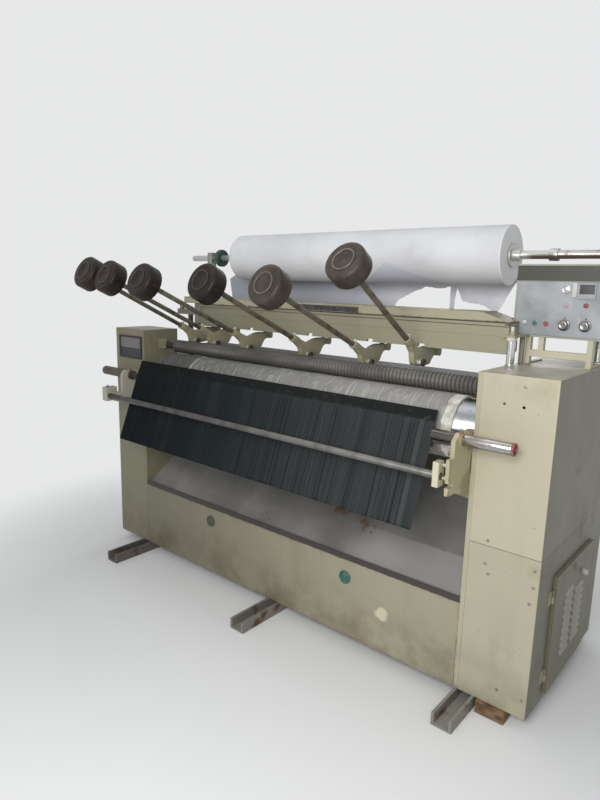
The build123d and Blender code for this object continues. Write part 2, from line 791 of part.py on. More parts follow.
# Right rod block, held off the bracket by two screws
rod_block_gap = 15
rod_block_below = 36
rod_block_above = 51
block_screw_back = 14
block_screw_rises = [37, -8]
block_right = right_plate_x - rod_block_gap
block_left = block_right - rod_block_width
rod_block_bottom = rod_z - rod_block_below
rod_block_top = rod_z + rod_block_above
block_screw_y = rod_y + block_screw_back
block_screw_heights = [rod_z + rise for rise in block_screw_rises]
block_screw_radius = 5
block_screw_depth = 4
spacer_length = 6
spacer_radius = 9
with BuildPart() as rod_block_right:
    block(block_left, block_right, rod_y - rod_block_half, rod_y + rod_block_half, rod_block_bottom,
          rod_block_top)
    for screw_z in block_screw_heights:
        bar_x(block_right - block_screw_depth, right_plate_x, block_screw_y, screw_z, block_screw_radius)
        bar_x(right_plate_x - spacer_length, right_plate_x, block_screw_y, screw_z, spacer_radius)
    bar_x(block_left, block_right, rod_y, rod_z, front_rod_radius + running_clearance, Mode.SUBTRACT)
rod_block_right.part.label = "rod_block_right"
export_step(rod_block_right.part, "parts/rod_block_right.step")

# Front rod
with BuildPart() as front_rod:
    bar_x(left_block_x + left_block_width - rod_seat, block_right, rod_y, rod_z, front_rod_radius)
front_rod.part.label = "front_rod"
export_step(front_rod.part, "parts/front_rod.step")

# Sliding chuck stubs; the right one is a tube with a red ring on its end
right_stub_inset = 101
right_stub_length = 285
right_stub_left = right_plate_x - right_stub_inset
stub_bore = 14
stub_bore_depth = 60
stub_chamfer = 2
cap_length = 8
cap_lip = 1
with BuildPart() as stub_left:
    bar_x(left_end, left_inner, stub_y, stub_z, left_stub_radius)
    chamfer(stub_left.edges().filter_by(GeomType.CIRCLE), stub_chamfer)
stub_left.part.label = "stub_left"
export_step(stub_left.part, "parts/stub_left.step")

with BuildPart() as stub_right:
    bar_x(right_stub_left, right_stub_left + right_stub_length, stub_y, stub_z, right_stub_radius)
    bar_x(right_stub_left + right_stub_length - stub_bore_depth, right_stub_left + right_stub_length,
          stub_y, stub_z, stub_bore, Mode.SUBTRACT)
stub_right.part.label = "stub_right"
export_step(stub_right.part, "parts/stub_right.step")

with BuildPart() as stub_cap:
    bar_x(right_stub_left + right_stub_length, right_stub_left + right_stub_length + cap_length,
          stub_y, stub_z, right_stub_radius + cap_lip)
    bar_x(right_stub_left + right_stub_length, right_stub_left + right_stub_length + cap_length,
          stub_y, stub_z, stub_bore, Mode.SUBTRACT)
stub_cap.part.label = "stub_cap"
export_step(stub_cap.part, "parts/stub_cap.step")

# Cross beam: a channel open below, notched over each lever, its top clipped at the right, with a bracket
# at each end
cover_inset = 17
cover_drop = 31
clip_length = 89
left_column_inset = 17
left_column_back = 80
left_bracket_rise = 50
left_bracket_height = 30
left_bracket_reach = 113
left_bracket_half = 20
handle_inset = 20
handle_stud_radius = 6
handle_stud_height = 20
flange_drop = 5
flange_thickness = 8
gusset_reach = 12
gusset_half = 10
gusset_height = 40
column_nut_radius = 11
column_nut_height = 12
lip_height = 10
groove_rises = [101, 115]
column_x = right_inner + column_inset
column_y = bracket_front + column_lead
left_column_x = left_inner - left_column_inset
left_column_y = beam_front + left_column_back
left_bracket_bottom = beam_bottom + left_bracket_rise
left_bracket_x = left_inner - left_bracket_reach
handle_x = left_bracket_x + handle_inset
groove_heights = [beam_bottom + rise for rise in groove_rises]
cover_right = beam_right - cover_inset
cover_bottom = beam_top - cover_drop
clip_x = cover_right - clip_length
beam_outline = [
    (beam_left, beam_bottom), (beam_right, beam_bottom), (beam_right, cover_bottom), (clip_x, beam_top),
    (beam_left, beam_top),
]
beam_inside = [
    (beam_left + beam_wall, beam_bottom), (beam_right - beam_wall, beam_bottom),
    (beam_right - beam_wall, cover_bottom - beam_wall), (clip_x - beam_wall, beam_top - beam_wall),
    (beam_left + beam_wall, beam_top - beam_wall),
]
with BuildPart() as beam:
    with BuildSketch(Plane.XZ.offset(-beam_rear)):
        with BuildLine():
            Polyline(*beam_outline, close=True)
        make_face()
    extrude(amount=beam_depth)
    with BuildSketch(Plane.XZ.offset(beam_wall - beam_rear)):
        with BuildLine():
            Polyline(*beam_inside, close=True)
        make_face()
    extrude(amount=beam_depth - 2 * beam_wall, mode=Mode.SUBTRACT)
    block(beam_left, beam_right, beam_rear - foot_flange_depth, beam_rear, beam_bottom + flange_drop,
          beam_bottom + flange_drop + flange_thickness)
    block(beam_left, beam_right, beam_rear - foot_flange_depth, beam_rear, beam_bottom,
          beam_bottom + flange_drop, Mode.SUBTRACT)
    block(beam_left, beam_right, beam_front - beam_lip, beam_front, beam_bottom, beam_bottom + lip_height)
    block(box_left - box_gap, beam_right, box_front - box_gap, beam_rear, beam_bottom, beam_top,
          Mode.SUBTRACT)
    block(box_left - box_gap - beam_wall, box_left - box_gap, box_front - box_gap, beam_rear,
          beam_bottom + flange_drop, cover_bottom)
    for groove_z in groove_heights:
        block(beam_left, beam_right, beam_front, beam_front + beam_groove, groove_z, groove_z + beam_groove,
              Mode.SUBTRACT)
    for lever_x in lever_places:
        block(lever_x - notch_width / 2, lever_x + notch_width / 2, beam_front - beam_lip,
              beam_front + beam_wall, beam_bottom, beam_bottom + notch_height, Mode.SUBTRACT)
    block(beam_right - beam_wall, column_x + bracket_overlap, bracket_front, bracket_front + bracket_depth,
          bracket_bottom, bracket_bottom + bracket_height)
    block(beam_right - beam_wall, beam_right + gusset_reach, column_y - gusset_half, beam_front + gusset_half,
          bracket_bottom, bracket_bottom + gusset_height)
    bar_z(column_x - column_radius, column_y, bracket_bottom + bracket_height,
          bracket_bottom + bracket_height + column_nut_height, column_nut_radius)
    block(left_bracket_x, beam_left + beam_wall, left_column_y - left_bracket_half,
          left_column_y + left_bracket_half, left_bracket_bottom, left_bracket_bottom + left_bracket_height)
    bar_z(handle_x, left_column_y, left_bracket_bottom,
          left_bracket_bottom + left_bracket_height + handle_stud_height, handle_stud_radius)
beam.part.label = "beam"
export_step(beam.part, "parts/beam.step")

# Cover strip on the beam's front edge, with a clipped right corner and a bare plate
cover_reach = 85
plate_inset = 844
plate_width = 355
plate_height = 28
cover_left = beam_left - cover_reach
cover_top = beam_top + sheet
plate_left = cover_left + plate_inset
plate_right = plate_left + plate_width
plate_thickness = 2
clip_edge = 3
with BuildPart() as beam_cover:
    with BuildSketch(Plane.XZ.offset(-beam_front)):
        with BuildLine():
            Polyline((cover_left, cover_bottom), (cover_right, cover_bottom),
                     (cover_right, cover_bottom + clip_edge), (clip_x, cover_top),
                     (cover_left, cover_top), close=True)
        make_face()
    extrude(amount=sheet)
    block(cover_left, clip_x, beam_front - sheet, beam_front + beam_depth,
          beam_top, cover_top)
    block(plate_left, plate_right, beam_front - sheet - plate_thickness, beam_front - sheet, cover_bottom,
          cover_bottom + plate_height)
beam_cover.part.label = "beam_cover"
export_step(beam_cover.part, "parts/beam_cover.step")

# Lever hangers: a clevis with its pin under the beam's rear flange, one for each lever
hanger_top = beam_bottom + flange_drop
ear_thickness = 8
ear_gap = 1
pin_end = 4
slot_rise = 21
with BuildPart() as lever_hangers:
    for lever_x in lever_places:
        inner_half = lever_thickness / 2 + ear_gap
        outer_half = inner_half + ear_thickness
        block(lever_x - outer_half, lever_x + outer_half, pivot_y - eye_radius, pivot_y + eye_radius,
              pivot_z, hanger_top)
        bar_x(lever_x - outer_half, lever_x + outer_half, pivot_y, pivot_z, eye_radius)
        block(lever_x - inner_half, lever_x + inner_half, pivot_y - eye_radius, pivot_y + eye_radius,
              pivot_z - eye_radius, pivot_z + slot_rise, Mode.SUBTRACT)
        bar_x(lever_x - outer_half - pin_end, lever_x + outer_half + pin_end, pivot_y, pivot_z,
              pivot_pin_radius)
lever_hangers.part.label = "lever_hangers"
export_step(lever_hangers.part, "parts/lever_hangers.step")

# Six cast levers with their weight rods. Outline points are (rearward, upward) from the pivot.
foot_ahead = 21
foot_behind = 19
lever_outline = [
    (9, 10), (-78, 20), (-145, 2), (-196, 15), (-246, 34), (-236, 2), (-207, -19),
    (foot_y - foot_ahead, -foot_drop), (foot_y + foot_behind, -foot_drop), (-58, -56), (-49, -37), (-30, -15),
    (0, -12),
]
nut_radius = 13
nut_length = 20
nut_height = -54
screw_root = 6
socket_back = 20
socket_length = 45
socket_cut = 40
weight_round = 11
ring_outer = 42
ring_inner = 36
ring_height = 4
rod_nut = 3
for number, (lever_x, lift, weight_start) in enumerate(zip(lever_places, lever_lifts, weight_starts), start=1):
    turn = radians(lift)
    lever_plane = Plane(origin=(lever_x, pivot_y, pivot_z), x_dir=(0, cos(turn), -sin(turn)),
                        z_dir=(1, 0, 0))
    mouth = lever_plane.from_local_coords((socket_mouth[0], socket_mouth[1], 0))
    elevation = radians(rod_elevation + lift)
    rod_plane = Plane(origin=mouth, x_dir=(1, 0, 0), z_dir=(0, -cos(elevation), sin(elevation)))
    screw_edge = foot_y + foot_screw_radius
    screw_drop = (foot_drop + foot_screw_reach - sin(turn) * screw_edge) / cos(turn) - foot_drop

    with BuildPart() as lever:
        with BuildSketch(lever_plane.offset(-lever_thickness / 2)):
            with BuildLine():
                Polyline(*lever_outline, close=True)
            make_face()
            Circle(eye_radius)
        extrude(amount=lever_thickness)
        with BuildSketch(rod_plane.offset(-socket_back)):
            Circle(socket_radius)
        extrude(amount=socket_length)
        with BuildSketch(lever_plane.offset(lever_thickness / 2)):
            with Locations((foot_y, nut_height)):
                Circle(nut_radius)
        extrude(amount=nut_length)
        foot_plane = Plane(origin=lever_plane.from_local_coords((foot_y, -foot_drop, 0)), x_dir=(1, 0, 0),
                           z_dir=(0, -sin(turn), -cos(turn)))
        with BuildSketch(foot_plane.offset(-screw_root)):
            Circle(foot_screw_radius)
        extrude(amount=screw_drop + screw_root)
        with BuildSketch(rod_plane.offset(-socket_depth)):
            Circle(rod_radius + running_clearance)
        extrude(amount=socket_depth + socket_cut, mode=Mode.SUBTRACT)
        with BuildSketch(lever_plane.offset(-lever_thickness / 2)):
            Circle(pivot_pin_radius + running_clearance)
        extrude(amount=lever_thickness, mode=Mode.SUBTRACT)
    lever.part.label = f"lever_{number}"
    export_step(lever.part, f"parts/lever_{number}.step")

    with BuildPart() as weight:
        with BuildSketch(rod_plane.offset(-socket_depth)):
            Circle(rod_radius)
        extrude(amount=socket_depth + weight_start)
        with BuildSketch(rod_plane.offset(weight_start)):
            Circle(weight_radius)
        extrude(amount=weight_length)
        fillet(weight.edges().filter_by(GeomType.CIRCLE).filter_by(
            lambda edge: edge.radius > ring_outer), weight_round)
        with BuildSketch(rod_plane.offset(weight_start + weight_length)):
            Circle(ring_outer)
            Circle(ring_inner, mode=Mode.SUBTRACT)
            Circle(rod_radius + rod_nut)
        extrude(amount=ring_height)
    weight.part.label = f"weight_{number}"
    export_step(weight.part, f"parts/weight_{number}.step")

# Columns: a collared round one and a square one at the right, a round one at the left
collar_radius = 20
collar_height = 14
base_collar_radius = 26
base_collar_height = 8
square_inset = 8
square_back = 102
square_side = 16
square_depth = 20
square_left = right_inner + square_inset
square_front = bracket_front + square_back
with BuildPart() as beam_columns:
    bar_z(column_x - column_radius, column_y, right_top, bracket_bottom, column_radius)
    bar_z(column_x - column_radius, column_y, bracket_bottom - collar_height, bracket_bottom, collar_radius)
    bar_z(column_x - column_radius, column_y, right_top, right_top + base_collar_height, base_collar_radius)
    block(square_left, square_left + square_side, square_front, square_front + square_depth, right_top,
          bracket_bottom)
    bar_z(left_column_x, left_column_y, left_cabinet_top, left_bracket_bottom, column_radius)
    bar_z(left_column_x, left_column_y, left_cabinet_top, left_cabinet_top + base_collar_height,
          base_collar_radius)
beam_columns.part.label = "beam_columns"
export_step(beam_columns.part, "parts/beam_columns.step")

# Clamp handle on the left bracket's stud
handle_hub_radius = 14
handle_bottom = left_bracket_bottom + left_bracket_height + rest_gap
handle_lean = 40
hub_height = 28
hub_round = 6
arm_height = 16
arm_radius = 5
arm_length = 85
with BuildPart() as clamp_handle:
    bar_z(handle_x, left_column_y, handle_bottom, handle_bottom + hub_height, handle_hub_radius)
    fillet(clamp_handle.edges().filter_by(GeomType.CIRCLE).group_by(Axis.Z)[-1], hub_round)
    handle_plane = Plane(origin=(handle_x, left_column_y, handle_bottom + arm_height), x_dir=(0, 1, 0),
                         z_dir=(cos(radians(handle_lean)), 0, sin(radians(handle_lean))))
    with BuildSketch(handle_plane):
        Circle(arm_radius)
    extrude(amount=arm_length)
    bar_z(handle_x, left_column_y, handle_bottom, handle_bottom + handle_stud_height,
          handle_stud_radius + running_clearance, Mode.SUBTRACT)
clamp_handle.part.label = "clamp_handle"
export_step(clamp_handle.part, "parts/clamp_handle.step")

# Posts that carry the paper roll, with a bearing block on each
post_foot_radius = 40
post_foot_height = 10
with BuildPart() as roll_posts:
    for post_x, post_bottom in ((left_post_x, left_cabinet_top), (right_post_x, right_top)):
        bar_z(post_x, roll_y, post_bottom, roll_z, post_radius)
        bar_z(post_x, roll_y, post_bottom, post_bottom + post_foot_height, post_foot_radius)
        block(post_x - bearing_width / 2, post_x + bearing_width / 2, roll_y - bearing_half,
              roll_y + bearing_half, roll_z - bearing_half, roll_z + bearing_half)
        bar_x(post_x - bearing_width / 2, post_x + bearing_width / 2, roll_y, roll_z,
              shaft_radius + running_clearance, Mode.SUBTRACT)
roll_posts.part.label = "roll_posts"
export_step(roll_posts.part, "parts/roll_posts.step")

# Roll shaft with the two hubs that hold the roll, and a collar at the right
shaft_left_inset = 12
shaft_right_inset = 18
shaft_left = left_end + shaft_left_inset
shaft_right = right_end - shaft_right_inset
hub_flange = 48
hub_flange_width = 10
hub_seat = 25
collar_wall = 8
collar_width = 32
stop_collar_inset = 264
stop_collar_width = 35
stop_collar_x = right_end - stop_collar_inset
with BuildPart() as roll_shaft:
    bar_x(shaft_left, shaft_right, roll_y, roll_z, shaft_radius)
    bar_x(roll_right - hub_seat, roll_right, roll_y, roll_z, roll_bore)
    bar_x(roll_right, roll_right + hub_flange_width, roll_y, roll_z, hub_flange)
    bar_x(roll_right + hub_flange_width, roll_right + hub_flange_width + collar_width, roll_y, roll_z,
          shaft_radius + collar_wall)
    bar_x(roll_left, roll_left + hub_seat, roll_y, roll_z, roll_bore)
    bar_x(roll_left - hub_flange_width, roll_left, roll_y, roll_z, hub_flange)
    bar_x(stop_collar_x, stop_collar_x + stop_collar_width, roll_y, roll_z, shaft_radius + collar_wall)
roll_shaft.part.label = "roll_shaft"
export_step(roll_shaft.part, "parts/roll_shaft.step")

# Hand wheel on the shaft's left part
wheel_inset = 250
wheel_x = left_end + wheel_inset
wheel_round = 5
wheel_rim = 14
wheel_dish = 6
wheel_hub_wall = 9
with BuildPart() as hand_wheel:
    bar_x(wheel_x, wheel_x + wheel_width, roll_y, roll_z, wheel_radius)
    fillet(hand_wheel.edges().filter_by(GeomType.CIRCLE), wheel_round)
    bar_x(wheel_x, wheel_x + wheel_dish, roll_y, roll_z, wheel_radius - wheel_rim, Mode.SUBTRACT)
    bar_x(wheel_x + wheel_width - wheel_dish, wheel_x + wheel_width, roll_y, roll_z,
          wheel_radius - wheel_rim, Mode.SUBTRACT)
    bar_x(wheel_x, wheel_x + wheel_width, roll_y, roll_z, shaft_radius + wheel_hub_wall)
    bar_x(wheel_x, wheel_x + wheel_width, roll_y, roll_z, shaft_radius, Mode.SUBTRACT)
hand_wheel.part.label = "hand_wheel"
export_step(hand_wheel.part, "parts/hand_wheel.step")

# Paper roll: one solid, with the turns of paper standing slightly proud of each other at its ends
turn_steps = 8
turn_shift = 1.2
turn_seam = 0.5
flange_room = 2
turns_start = hub_flange + flange_room
turn_width = (roll_radius - turns_start) / turn_steps
roll_outline = [(roll_left, roll_bore), (roll_left, turns_start)]
for step in range(turn_steps):
    turn_x = roll_left + turn_shift * (step % 2)
    roll_outline.append((turn_x, turns_start + step * turn_width + turn_seam))
    roll_outline.append((turn_x, turns_start + (step + 1) * turn_width))
for step in reversed(range(turn_steps)):
    turn_x = roll_right - turn_shift * (step % 2)
    roll_outline.append((turn_x, turns_start + (step + 1) * turn_width))
    roll_outline.append((turn_x, turns_start + step * turn_width + turn_seam))
roll_outline += [(roll_right, turns_start), (roll_right, roll_bore)]
with BuildPart() as paper_roll:
    with BuildSketch(Plane(origin=(0, roll_y, roll_z), x_dir=(1, 0, 0), z_dir=(0, -1, 0))):
        with BuildLine():
            Polyline(*roll_outline, close=True)
        make_face()
    revolve(axis=Axis((0, roll_y, roll_z), (1, 0, 0)))
paper_roll.part.label = "paper_roll"
export_step(paper_roll.part, "parts/paper_roll.step")

# Torn paper web that hangs askew behind the roll. Points are (from an end of the roll, below its axis).
web_left_outline = [(2, 0), (-256, 120), (-232, 268), (302, 300)]
web_right_outline = [
    (1130, 312), (860, 300), (633, 242), (607, 206), (529, 166), (455, 137), (380, 145), (326, 134),
    (331, 164), (328, 242), (303, 240), (303, 202), (293, 143), (261, 200), (191, 210), (158, 215),
    (95, 249), (24, 118), (4, 100), (4, 0),
]
web_points = ([(roll_left + along, roll_z - drop) for along, drop in web_left_outline]
              + [(roll_right - along, roll_z - drop) for along, drop in web_right_outline])
web_front = roll_y + roll_radius + rest_gap
with BuildPart() as paper_web:
    with BuildSketch(Plane.XZ.offset(-web_front)):
        with BuildLine():
            Polyline(*web_points, close=True)
        make_face()
    extrude(amount=-web_thickness)
paper_web.part.label = "paper_web"
export_step(paper_web.part, "parts/paper_web.step")

# Stand under the control box: two legs with feet and a cross bar
leg_width = 20
leg_depth = 25
stand_left_inset = 54
stand_right_inset = 36
cross_rise = 27
cross_height = 26
strut_inset = 48
stand_foot = 6
stand_left = box_left + stand_left_inset
stand_right = right_end - stand_right_inset
strut_left = stand_left + strut_inset
cross_bottom = right_top + cross_rise
with BuildPart() as control_stand:
    block(stand_left, stand_left + leg_width, box_front, box_front + leg_depth, right_top, box_bottom)
    block(stand_right, stand_right + leg_width, box_front, box_front + leg_depth, right_top, box_bottom)
    block(stand_left, stand_right + leg_width, box_front, box_front + leg_depth, cross_bottom,
          cross_bottom + cross_height)
    block(strut_left, strut_left + leg_width, box_front, box_front + leg_depth,
          cross_bottom + cross_height, box_bottom)
    block(stand_left, stand_left + leg_width, box_front, box_front + box_depth, right_top,
          right_top + stand_foot)
    block(stand_right, stand_right + leg_width, box_front, box_front + box_depth, right_top,
          right_top + stand_foot)
control_stand.part.label = "control_stand"
export_step(control_stand.part, "parts/control_stand.step")

# Control case with the window for its face
box_right = box_left + box_width
box_rear = box_front + box_depth
box_top = box_bottom + box_height
box_lip = 6
face_left = box_left + face_inset
face_right = face_left + face_width
face_bottom = box_bottom + face_inset
face_top = face_bottom + face_height
with BuildPart() as control_case:
    block(box_left, box_right, box_front, box_rear, box_bottom, box_top)
    block(box_left + box_sheet, box_right - box_sheet, box_front + box_sheet, box_rear - box_sheet,
          box_bottom + box_sheet, box_top - box_sheet, Mode.SUBTRACT)
    block(face_left, face_right, box_front, box_front + box_sheet, face_bottom, face_top, Mode.SUBTRACT)
    block(box_left, box_right, box_front - box_lip, box_front, box_top - box_lip, box_top)
control_case.part.label = "control_case"
export_step(control_case.part, "parts/control_case.step")

# Places on the control face, from the box's left side and bottom
left_knob_inset = 189
right_knob_inset = 262
knob_rise = 51
green_inset = 83
red_inset = 124
button_rise = 53
knob_stem = 3
button_stem = 5
meter_inset = 227
meter_width = 60
meter_depth = 8
meter_rise = 146
meter_height = 56
strip_inset = 211
strip_width = 5
strip_depth = 4
strip_rise = 152
strip_height = 51
face_front = box_front
left_knob_x = box_left + left_knob_inset
right_knob_x = box_left + right_knob_inset
control_knob_z = box_bottom + knob_rise
green_x = box_left + green_inset
red_x = box_left + red_inset
button_z = box_bottom + button_rise
meter_left = box_left + meter_inset
meter_bottom = box_bottom + meter_rise
strip_left = box_left + strip_inset
strip_bottom = box_bottom + strip_rise

# Control face with its raised meter
with BuildPart() as control_face:
    block(face_left, face_right, face_front, face_front + box_sheet, face_bottom, face_top)
    block(meter_left, meter_left + meter_width, face_front - meter_depth, face_front, meter_bottom,
          meter_bottom + meter_height)
    block(strip_left, strip_left + strip_width, face_front - strip_depth, face_front, strip_bottom,
          strip_bottom + strip_height)
    for stem_x in (left_knob_x, right_knob_x):
        bar_y(stem_x, face_front, face_front + box_sheet, control_knob_z, knob_stem + running_clearance,
              Mode.SUBTRACT)
    for stem_x in (green_x, red_x):
        bar_y(stem_x, face_front, face_front + box_sheet, button_z, button_stem + running_clearance,
              Mode.SUBTRACT)
control_face.part.label = "control_face"
export_step(control_face.part, "parts/control_face.step")

# Two turning knobs with skirts
skirt_height = 6
knob_height = 24
knob_step = 6
knob_chamfer = 2
stem_length = 12
for name, stem_x in (("knob_left", left_knob_x), ("knob_right", right_knob_x)):
    with BuildPart() as knob:
        skirt_face = face_front - rest_gap - skirt_height
        bar_y(stem_x, skirt_face, face_front - rest_gap, control_knob_z, knob_radius)
        bar_y(stem_x, face_front - knob_height, skirt_face, control_knob_z, knob_radius - knob_step)
        chamfer(knob.edges().filter_by(GeomType.CIRCLE).group_by(Axis.Y)[0], knob_chamfer)
        bar_y(stem_x, skirt_face, face_front + stem_length, control_knob_z, knob_stem)
    knob.part.label = name
    export_step(knob.part, f"parts/{name}.step")

# Two push buttons
button_top = 9
button_chamfer = 1.5
button_back = 8
for name, stem_x in (("green_button", green_x), ("red_button", red_x)):
    with BuildPart() as button:
        cap_front = face_front - button_top
        bar_y(stem_x, cap_front, face_front - button_stroke - rest_gap, button_z, button_radius)
        chamfer(button.edges().filter_by(GeomType.CIRCLE).group_by(Axis.Y)[0], button_chamfer)
        bar_y(stem_x, cap_front + button_chamfer, face_front + button_back, button_z, button_stem)
    button.part.label = name
    export_step(button.part, f"parts/{name}.step")

# Lamps on the face, as (from the box's left side, above its bottom, radius)
lamp_places = [(44, 54, 8), (189, 123, 8), (258, 124, 9), (183, 180, 15)]
lamp_height = 7
lamp_chamfer = 2
with BuildPart() as panel_lamps:
    for inset, height, lamp_radius in lamp_places:
        bar_y(box_left + inset, face_front - lamp_height, face_front, box_bottom + height, lamp_radius)
    chamfer(panel_lamps.edges().filter_by(GeomType.CIRCLE).group_by(Axis.Y)[0], lamp_chamfer)
panel_lamps.part.label = "panel_lamps"
export_step(panel_lamps.part, "parts/panel_lamps.step")
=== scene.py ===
from math import cos, pi, radians, sin, sqrt
from random import Random

import bmesh
import bpy
from mathutils import Matrix, Vector, noise


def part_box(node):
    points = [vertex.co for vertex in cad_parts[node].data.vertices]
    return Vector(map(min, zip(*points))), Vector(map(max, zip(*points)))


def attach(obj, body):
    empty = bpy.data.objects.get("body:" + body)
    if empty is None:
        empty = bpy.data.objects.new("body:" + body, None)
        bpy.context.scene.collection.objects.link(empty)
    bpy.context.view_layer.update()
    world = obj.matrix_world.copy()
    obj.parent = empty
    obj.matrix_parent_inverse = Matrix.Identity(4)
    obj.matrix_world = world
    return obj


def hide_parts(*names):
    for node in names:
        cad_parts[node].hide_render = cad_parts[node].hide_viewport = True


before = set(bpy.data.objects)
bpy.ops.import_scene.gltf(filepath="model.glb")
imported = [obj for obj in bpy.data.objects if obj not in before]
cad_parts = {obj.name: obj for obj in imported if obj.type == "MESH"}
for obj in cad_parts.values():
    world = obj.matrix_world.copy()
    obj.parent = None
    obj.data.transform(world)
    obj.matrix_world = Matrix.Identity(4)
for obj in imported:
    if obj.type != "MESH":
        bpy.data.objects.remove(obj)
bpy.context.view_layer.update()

# The camera stands where the picture was taken from: right of the machine's front, at head height,
# turned 40 degrees to its left and tilted down by 11.
camera = bpy.data.objects.new("camera", bpy.data.cameras.new("camera"))
bpy.context.scene.collection.objects.link(camera)
bpy.context.scene.camera = camera
camera.data.lens = 27.09
camera.data.sensor_width = 36
camera.matrix_world = (Matrix.Translation((1.7978, -2.3391, 1.5379))
                       @ Matrix.Rotation(radians(40.05), 4, "Z")
                       @ Matrix.Rotation(radians(90 - 10.97), 4, "X")
                       @ Matrix.Rotation(radians(1.43), 4, "Z"))

# The room: a pale floor that fades into a pale world, a broad lamp near the camera whose light falls off
# along the machine, a weaker one above, and one behind that lights the paper and the edges.
bpy.context.scene.view_settings.view_transform = "Standard"


class Wire:
    """One socket of a finish. Sums on it are written as Python and add Math nodes."""

    def __init__(self, finish, socket):
        self.finish = finish
        self.socket = socket

    def sum(self, operation, *values):
        return self.finish.node("Math", {"operation": operation}, dict(enumerate(values)))

    def __add__(self, other):
        return self.sum("ADD", self, other)

    __radd__ = __add__

    def __sub__(self, other):
        return self.sum("SUBTRACT", self, other)

    def __rsub__(self, other):
        return self.sum("SUBTRACT", other, self)

    def __mul__(self, other):
        return self.sum("MULTIPLY", self, other)

    __rmul__ = __mul__

    def __truediv__(self, other):
        return self.sum("DIVIDE", self, other)

    def least(self, other):
        return self.sum("MINIMUM", self, other)

    def most(self, other):
        return self.sum("MAXIMUM", self, other)

    def size(self):
        return self.sum("ABSOLUTE", self)

    def root(self):
        return self.sum("SQRT", self)

    def ramp(self, start, end):
        """0 at start and 1 at end, smooth between them. End may be the lower one."""
        return self.finish.node("MapRange", {"interpolation_type": "SMOOTHSTEP"},
                                {"Value": self, "From Min": start, "From Max": end})


class Finish:
    """The node tree of a material or of the world, and the colour that its layers have reached."""

    def __init__(self, name, owner=None):
        self.owner = owner or bpy.data.materials.new(name)
        self.owner.use_nodes = True
        self.tree = self.owner.node_tree
        self.tree.nodes.clear()
        self.colour = None

    def node(self, kind, settings=None, inputs=None, output=0):
        made = self.tree.nodes.new("ShaderNode" + kind)
        for key, value in (settings or {}).items():
            setattr(made, key, value)
        for key, value in (inputs or {}).items():
            if isinstance(value, Wire):
                self.tree.links.new(value.socket, made.inputs[key])
            else:
                made.inputs[key].default_value = value
        return Wire(self, made.outputs[output]) if made.outputs else None

    def place(self):
        return self.node("TexCoord", output="Object")

    def gap_to(self, *point):
        return self.node("VectorMath", {"operation": "DISTANCE"}, {0: self.place(), 1: point},
                         output="Value")

    def along(self, axis):
        """The place along one axis, in metres."""
        return self.node("SeparateXYZ", inputs={0: self.place()}, output=axis)

    def facing_up(self):
        """1 where the surface faces up, and 0 where it is upright or faces down."""
        normal = self.node("TexCoord", output="Normal")
        return self.node("SeparateXYZ", inputs={0: normal}, output="Z").ramp(0.55, 0.95)

    def stretched(self, stretch):
        return self.node("Mapping", inputs={"Vector": self.place(), "Scale": stretch})

    def cloud(self, scale, detail=4, stretch=(1, 1, 1), rough=0.55):
        inputs = {"Vector": self.stretched(stretch), "Scale": scale, "Detail": detail, "Roughness": rough}
        return self.node("TexNoise", inputs=inputs)

    def grit(self, scale, stretch=(1, 1, 1)):
        """The distance to the nearest of many scattered points."""
        inputs = {"Vector": self.stretched(stretch), "Scale": scale}
        return self.node("TexVoronoi", inputs=inputs)

    def mix(self, share, first, second):
        return self.node("Mix", {"data_type": "RGBA"}, {0: share, 6: first, 7: second}, output=2)

    def base(self, share, first, second):
        """Starts the colour as a mix of two tones."""
        self.colour = self.mix(share, tone(*first), tone(*second))

    def layer(self, share, colour):
        """Lays another tone over the colour, as strongly as the share says."""
        self.colour = self.mix(share, self.colour, tone(*colour))

    def bump(self, height, depth, base=None):
        inputs = {"Height": height, "Distance": depth, "Strength": 1.0}
        if base:
            inputs["Normal"] = base
        return self.node("Bump", inputs=inputs)

    def grain(self, depth, *cloud):
        """The unevenness of a cloud of the given scale, detail and stretch."""
        return self.bump(self.cloud(*cloud), depth)

    def close(self, **inputs):
        """Ends the tree in a Principled shader. Names of its inputs are written with _ for a space."""
        inputs.setdefault("Base_Color", self.colour)
        named = {key.replace("_", " "): value for key, value in inputs.items()}
        shader = self.node("BsdfPrincipled", inputs=named)
        self.node("OutputMaterial", inputs={"Surface": shader})
        return self.owner


def tone(red, green, blue):
    """A colour as it looks on a screen, 0 to 255, as the shader wants it."""
    shares = [part / 255 for part in (red, green, blue)]
    return (*[part / 12.92 if part <= 0.04045 else ((part + 0.055) / 1.055) ** 2.4 for part in shares], 1)


def alone():
    if bpy.context.object and bpy.context.object.mode != "OBJECT":
        bpy.ops.object.mode_set(mode="OBJECT")
    bpy.ops.object.select_all(action="DESELECT")


def looked_at(finish):
    """1 for rays that show what they meet, and 0 for those that only bring light."""
    rays = [finish.node("LightPath", output=f"Is {kind} Ray") for kind in ("Camera", "Glossy",
                                                                           "Transmission")]
    return rays[0].most(rays[1]).most(rays[2])


backdrop = (0.80, 0.805, 0.81, 1)
look = Finish("floor_finish")
look.base(look.cloud(0.9, 3), (238, 238, 237), (245, 245, 244))
floor_light = look.node("BsdfDiffuse", inputs={"Color": look.colour})
far_light = look.node("Emission", inputs={"Color": backdrop, "Strength": 1.0})
away = look.along("X") * look.along("X") + look.along("Y") * look.along("Y")
fading = looked_at(look) * away.ramp(1.7, 6.5)
floor_mix = look.node("MixShader", inputs={0: fading, 1: floor_light, 2: far_light})
look.node("OutputMaterial", inputs={"Surface": floor_mix})
alone()
bpy.ops.mesh.primitive_plane_add(size=60, location=(0, 0, 0))
floor = bpy.context.object
floor.name = "floor"
floor.data.materials.append(look.owner)

